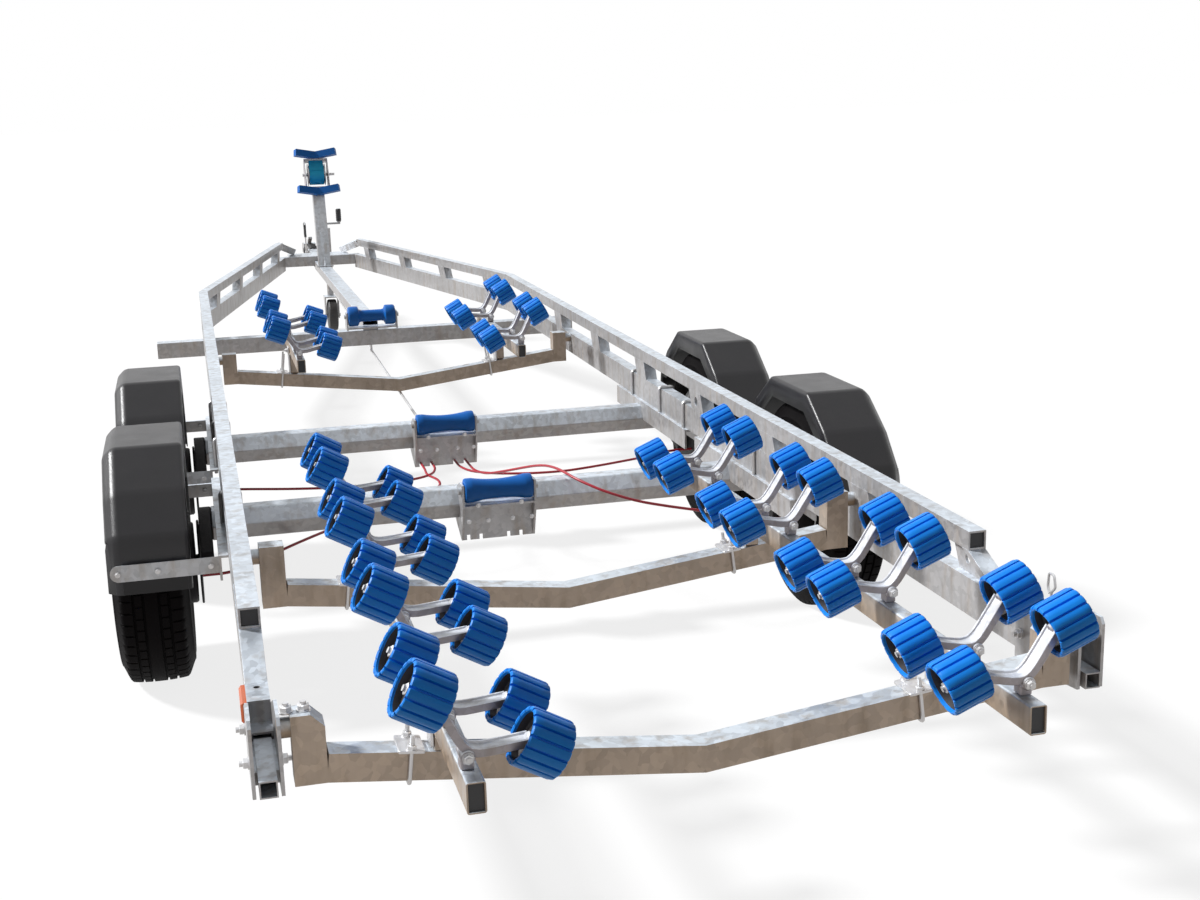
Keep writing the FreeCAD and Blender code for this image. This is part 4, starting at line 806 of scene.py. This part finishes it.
def wheelShapes(settings, centre, outward):
    # rim: the lip profile carried round and closed by the same profile a wall thickness nearer the axle
    lip = np.array(settings["lip"])
    rim = np.concatenate([lip, lip[::-1] * (settings["lipNarrow"], 1) - (0, settings["thick"])])
    shapes = [turned(rim, centre, outward, 96, loop=True)] + dishShape(settings, centre, outward)
    shapes.append(turned(settings["drum"], centre, outward, 64, 1, True))
    shapes.append(turned(settings["cap"], centre, outward, 40, 2))
    axis, side, other = squareAxes(outward)
    for turn in np.arange(settings["nuts"]) * 2 * math.pi / settings["nuts"] + settings["nutTurn"]:
        spoke = side * math.cos(turn) + other * math.sin(turn)
        spot = centre + axis * settings["nutAt"] + settings["nutCircle"] * spoke
        shapes.append(hexBolt(spot, outward, settings["nut"], finish=2))
    return shapes


for body, centre in wheels.items():
    outward = (math.copysign(1, centre[0]), 0, 0)
    makePiece("rim_" + body, wheelShapes(rimForm, centre, outward), ["rimSilver", "drumBlack", "boltZinc"], body,
              [body.replace("wheel", "rim")])
print("rims:", len(wheels))

# keel rollers: two waisted ones over the axles and one with two wheels at the end of the keel beam
keelForm = {
    "waisted": ((0, .0272), (.015, .0275), (.030, .0284), (.045, .0299), (.060, .0320), (.074, .0347), (.076, .035),
        (.0915, .035), (.0955, .0335), (.097, .0305), (.097, .0185), (.0945, .0175), (.0945, .0102)),
    "wheeled": ((0, .026), (.045, .0262), (.055, .0285), (.0608, .0405), (.0625, .0436), (.066, .045), (.099, .045),
        (.1045, .0425), (.107, .0385), (.107, .0185), (.1045, .0175), (.1045, .0102)),
}
for body, kind in (("rear_keel_roller", "waisted"), ("middle_keel_roller", "waisted"),
                   ("front_keel_roller", "wheeled")):
    right = np.array(keelForm[kind])
    outline = np.concatenate([right[:0:-1] * (-1, 1), right])
    shape = turned(outline, joints[body]["pos_m"], (1, 0, 0), 48, loop=True)
    makePiece("rubber_" + body, [shape], ["keelBlue"], body, [body])
print("keel rollers: 3")


# bunk beams: open tubes on packers
def openTube(start, end, wide, high, wall, corner):
    # point = end of the run + width x first + height x second of a rounded rectangle: outside along, inside back,
    # with a small step at the near edge
    start, end = np.asarray(start, float), np.asarray(end, float)
    along = unit(end - start)
    across = unit(np.cross(along, (0, 0, 1)))
    upright = np.cross(across, along)
    outside = roundedBox(wide, high, corner)
    inside = roundedBox(wide - 2 * wall, high - 2 * wall, max(corner - wall, 0.001))
    step, shrink = along * 0.0006, 0.0008 / wide
    rows = ((start, outside * (1 - shrink)), (start + step, outside), (end, outside), (end, inside),
            (start + step, inside), (start, inside * (1 + shrink)))
    points = np.concatenate([place + across * ring[:, :1] + upright * ring[:, 1:] for place, ring in rows])
    return points, gridFaces(len(rows), len(outside), True), 0


def bunkShapes(settings):
    # a packer fills the gap between a bunk and each bent beam that it crosses
    shapes = []
    wide, high = settings["wide"], settings["high"]
    for side in (-1, 1):
        for x, span, crossed in settings["runs"]:
            ends = [np.array((side * x, y, bunkTopAt(y) - high / 2)) for y in span]
            shapes.append(openTube(*ends, wide, high, settings["wall"], settings["corner"]))
            for name in crossed:
                y = cradles[name][0]
                bottom, (low, _) = bunkTopAt(y) - high, cradleTop(name, x - wide / 2)
                tall = bottom - low + settings["sunk"]
                shapes.append(plate((side * x, y, (bottom + low) / 2), (0, 0, 1), (1, 0, 0), wide,
                                    settings["packerDeep"], tall, settings["packerCorner"]))
    return shapes


makePiece("open_bunks", bunkShapes(bunkForm), ["cradleZinc"], chassis, ["bunk_beams"])
print("bunk beams: 4")

# clamps that hold the bunks to the bent beams: base plate, upright plate, studs and a bent round bar
clampForm = {
    "rod": 0.0038, "legs": 0.0295, "belowBeam": 0.0045, "bend": 0.008, "base": (0.044, 0.070, 0.005),
    "baseLift": 0.003, "nutLift": 0.0055, "upright": (0.046, 0.005, 0.006), "boltDown": 0.016, "stud": 0.026,
    "nut": 0.0082, "gap": 0.0035, "tall": {"rear": 0.055, "middle": 0.055, "front": 0.105},
    "places": (
        ("rear", -0.506, -0.452),
        ("rear", 0.398, 0.452),
        ("middle", -0.506, -0.452),
        ("middle", 0.398, 0.452),
        ("front", -0.466, -0.418),
        ("front", 0.370, 0.418),
    ),
}


def clampShapes(settings):
    # the bar runs under the beam and up both its faces to the studs; all of it stands square to the beam's slope
    shapes = []
    base, (deep, thick, corner), nut = settings["base"], settings["upright"], settings["nut"]
    across = np.array((0, 1, 0))
    for name, x, bunkX in settings["places"]:
        y, tall = cradles[name][0], settings["tall"][name]
        top, rise = cradleTop(name, x)
        slope = unit((1, 0, math.copysign(rise, x)))
        lift = np.cross(slope, across)
        middle = np.array((x, y, top))
        tips = base[2] + settings["stud"] + tall - settings["tall"]["rear"]
        back = -cradleForm["deep"] - settings["belowBeam"]
        shapes.append(bentBar(middle, across, lift, settings["legs"], back, tips, settings["rod"],
                              settings["bend"]))
        shapes.append(plate(middle + lift * settings["baseLift"], lift, slope, *base))
        face = bunkX - bunkForm["wide"] / 2 - settings["gap"]
        shapes.append(plate((face, y, top + tall / 2), (1, 0, 0), (0, 1, 0), deep, tall, thick, corner))
        shapes.append(hexBolt((face - thick / 2, y, top + tall - settings["boltDown"]), (-1, 0, 0), nut, 0.006))
        for way in (-1, 1):
            spot = middle + across * way * settings["legs"] + lift * settings["nutLift"]
            shapes.append(hexBolt(spot, lift, nut))
    return shapes


makePiece("bunk_clamps", clampShapes(clampForm), ["boltZinc"], chassis)
print("bunk clamps:", len(clampForm["places"]))

# black moulded plates set a little way into the open tubes as painted shade for their dark insides: place, width
# and height of each tube's mouth
tubeShadeForm = {
    "inset": 0.005, "thick": 0.003, "clear": 0.0004, "corner": 0.003,
    "ends": (
        (0.737, -3.673, 0.583, 0.032, 0.032),
        (0.452, -4.419, 0.523, 0.024, 0.044),
        (0.418, -0.640, 0.521, 0.024, 0.044),
    ),
}


def tubeShadeShapes(settings):
    clear = settings["clear"]
    return [plate((side * x, y + settings["inset"], z), (0, 1, 0), (1, 0, 0), wide - clear, high - clear,
                  settings["thick"], settings["corner"])
            for side in (-1, 1) for x, y, z, wide, high in settings["ends"]]


# the black grip finish on these plates is painted shade inside the tube mouths
makePiece("tube_mouth_shade", tubeShadeShapes(tubeShadeForm), ["gripBlack"], chassis)
print("tube caps placed")

# bolts: U-bolts under the upper rails, and rows of places x, y, z, the way their heads face, size and tail
boltForm = {
    "uX": 0.737, "uZ": 0.505, "uHalf": 0.0255, "uBack": 0.0055, "uTips": -0.100, "rod": 0.005, "bend": 0.012,
    "uPlaces": (-1.145, -1.482, -1.745, -2.405),
    "rows": (
        ((1.019, 0.925, 0.800), (-2.699, -1.776), (0.3995,), (0, -1, 0), 0.0062, 0.001),
        ((1.019, 0.925, 0.800), (-1.962, -1.039), (0.4075,), (0, -1, 0), 0.0062, 0.001),
        ((0.672, 0.700), (-4.084,), (0.5560,), (0, 0, 1), 0.0105, 0.005),
        ((0.035, 0.090), (-2.280, -1.357), (0.330,), (0, -1, 0), 0.006, 0.002),
        ((0.062,), (-2.280, -1.357), (0.375,), (0, -1, 0), 0.006, 0.002),
        ((0.7635,), (-4.050, -3.905), (0.462,), (1, 0, 0), 0.0095, 0.006),
        ((0.7105,), (-4.050, -3.905), (0.462,), (-1, 0, 0), 0.0095, 0.006),
    ),
}


def boltShapes(settings):
    shapes = []
    across, upright = np.array((1.0, 0, 0)), np.array((0, 0, 1.0))
    for side in (-1, 1):
        for y in settings["uPlaces"]:
            middle = np.array((side * settings["uX"], y, settings["uZ"]))
            shapes.append(bentBar(middle, across, upright, settings["uHalf"], settings["uBack"], settings["uTips"],
                                  settings["rod"], settings["bend"]))
        for allX, allY, allZ, way, size, tail in settings["rows"]:
            shapes += [hexBolt((side * x, y, z), np.array(way) * (side, 1, 1), size, tail)
                       for x in allX for y in allY for z in allZ]
    return shapes


makePiece("frame_bolts", boltShapes(boltForm), ["boltZinc"], chassis)
print("frame bolts placed")

# a spring clip of bent wire on the right rear plate: each bend's place ahead, in widths, and up, in metres
clipForm = {
    "foot": (0.724, -3.985, 0.548), "wire": 0.0026, "bend": 0.006, "wide": 0.011, "tall": 0.040, "bow": 0.016,
    "lean": 0.004,
}


def clipShapes(settings):
    # wire path: up one leg, out over a bow that leans outwards, and down the other leg
    wide, tall, lean = settings["wide"], settings["tall"], settings["lean"]
    top = tall + settings["bow"]
    bends = [(0, -wide * 0.3, 0), (0, -wide * 0.3, tall * 0.6), (lean, -wide, tall * 0.8),
             (lean, -wide * 0.4, top), (lean, wide * 1.2, top),
             (lean, wide * 1.5, tall * 0.7), (lean / 2, wide * 0.6, tall * 0.45)]
    path = roundedPath(np.array(settings["foot"]) + bends, settings["bend"])
    return [swept(circle(settings["wire"], 8), path, (1, 0, 0))]


makePiece("spring_clips", clipShapes(clipForm), ["boltZinc"], chassis)

# rubber grips on the jockey crank and on the handbrake lever
gripForm = {
    "crank": (0.156, 3.730, 0.690, 0.768), "radius": 0.0165, "ripple": 0.0008, "ripples": 6, "end": 0.004,
    "leverTop": (-0.060, 3.750, 0.685), "leverFoot": (-0.045, 3.940, 0.478), "share": 0.378, "lower": 0.006,
    "section": (0.016, 0.036, 0.006),
    "swell": ((0, 0.7), (0.03, 0.95), (0.1, 1.0), (0.35, 0.92), (0.65, 0.92), (0.9, 1.0), (1.0, 0.95)),
}


def gripShapes(settings):
    # crank sleeve: radius = radius + ripple x cos of the height, so many times a turn; lever sleeve: a rounded
    # section carried down a share of the lever, its size a little different at each step
    x, y, low, high = settings["crank"]
    long = high - low
    heights = np.linspace(0, long, 25)
    radii = settings["radius"] + settings["ripple"] * np.cos(heights / long * settings["ripples"] * 2 * math.pi)
    radii[[0, -1]] -= settings["end"]
    outline = np.stack([np.r_[0, heights, long], np.r_[0, radii, 0]], -1)
    top, foot = np.array(settings["leverTop"]), np.array(settings["leverFoot"])
    steps, swell = np.array(settings["swell"]).T
    path = top + (foot - top) * steps[:, None] * settings["share"] - (0, 0, settings["lower"])
    sleeve = swept(roundedBox(*settings["section"]), path, (1, 0, 0), swell)
    return [turned(outline, (x, y, low), (0, 0, 1), 20), sleeve]


makePiece("handle_grips", gripShapes(gripForm), ["gripBlack"], chassis)

# winch strap: wound on the drum, and a run up to a bar between the cheek plates
strapForm = {
    "core": 0.0445, "pile": 0.0600, "turns": 6, "half": 0.043, "thick": 0.0011, "cheekX": 0.0490, "cheek": 0.0655,
    "cheekBore": 0.010, "cheekThick": 0.003, "bar": (-0.022, 0.073), "barHalf": 0.0675, "barRadius": 0.0065,
    "lean": 17.0, "clear": 0.0025, "wrap": 3.3, "loopGap": 0.0016, "leaving": (0.5, 0.35, 0.2, 0.1, 0.0),
    "tail": ((0.003, -0.012), (0.004, -0.020)),
}


def strapShapes(settings):
    # spiral: radius grows evenly from the core to the pile; the free run leaves it at the tangent towards the bar,
    # goes round the bar and ends in a short tail; both lie in the frame's own directions, which lean ahead
    middle, lean = np.array(joints["winch_drum"]["pos_m"]), math.radians(settings["lean"])
    ahead, up = np.array((0, math.cos(lean), -math.sin(lean))), np.array((0, math.sin(lean), math.cos(lean)))
    half, thick = settings["half"], settings["thick"]
    band = [(-half, 0), (-half + thick, -thick), (half - thick, -thick), (half, 0), (half - thick, thick),
            (-half + thick, thick)]
    turns = np.linspace(0, settings["turns"] * 2 * math.pi, settings["turns"] * 40)
    radii = np.linspace(settings["core"], settings["pile"], len(turns))[:, None]
    spiral = middle + radii * (np.cos(turns)[:, None] * ahead + np.sin(turns)[:, None] * up)
    wound = [swept(band, spiral, (1, 0, 0))]
    cheek, bore, edge = settings["cheek"], settings["cheekBore"], settings["cheekThick"]
    disc = [(0, bore), (0, cheek - 0.001), (0.0008, cheek), (edge - 0.0008, cheek), (edge, cheek - 0.001),
            (edge, bore)]
    wound += [turned(disc, middle + (way * settings["cheekX"], 0, 0), (way, 0, 0), 56, 1, True) for way in (-1, 1)]
    barAhead, barUp = settings["bar"]
    pile, loop = settings["pile"] + settings["clear"], settings["barRadius"] + settings["loopGap"]
    leave = math.atan2(barUp, barAhead) + math.acos(pile / math.hypot(barAhead, barUp))
    run = [(pile * math.cos(leave + step), pile * math.sin(leave + step)) for step in settings["leaving"]]
    run += [(barAhead + loop * math.cos(turn), barUp + loop * math.sin(turn))
            for turn in np.linspace(leave, leave - settings["wrap"], 9)]
    run = np.concatenate([run, run[-1] + np.array(settings["tail"])])
    bar, reach = middle + barAhead * ahead + barUp * up, (settings["barHalf"], 0, 0)
    return wound, [swept(band, middle + run[:, :1] * ahead + run[:, 1:] * up, (1, 0, 0)),
                   rodShape(bar - reach, bar + reach, settings["barRadius"], 1)]


wound, free = strapShapes(strapForm)
for name, shapes, body in (("strap_on_drum", wound, "winch_drum"), ("strap_run", free, chassis)):
    makePiece(name, shapes, ["strapCyan", "boltZinc"], body)
print("winch strap wound")
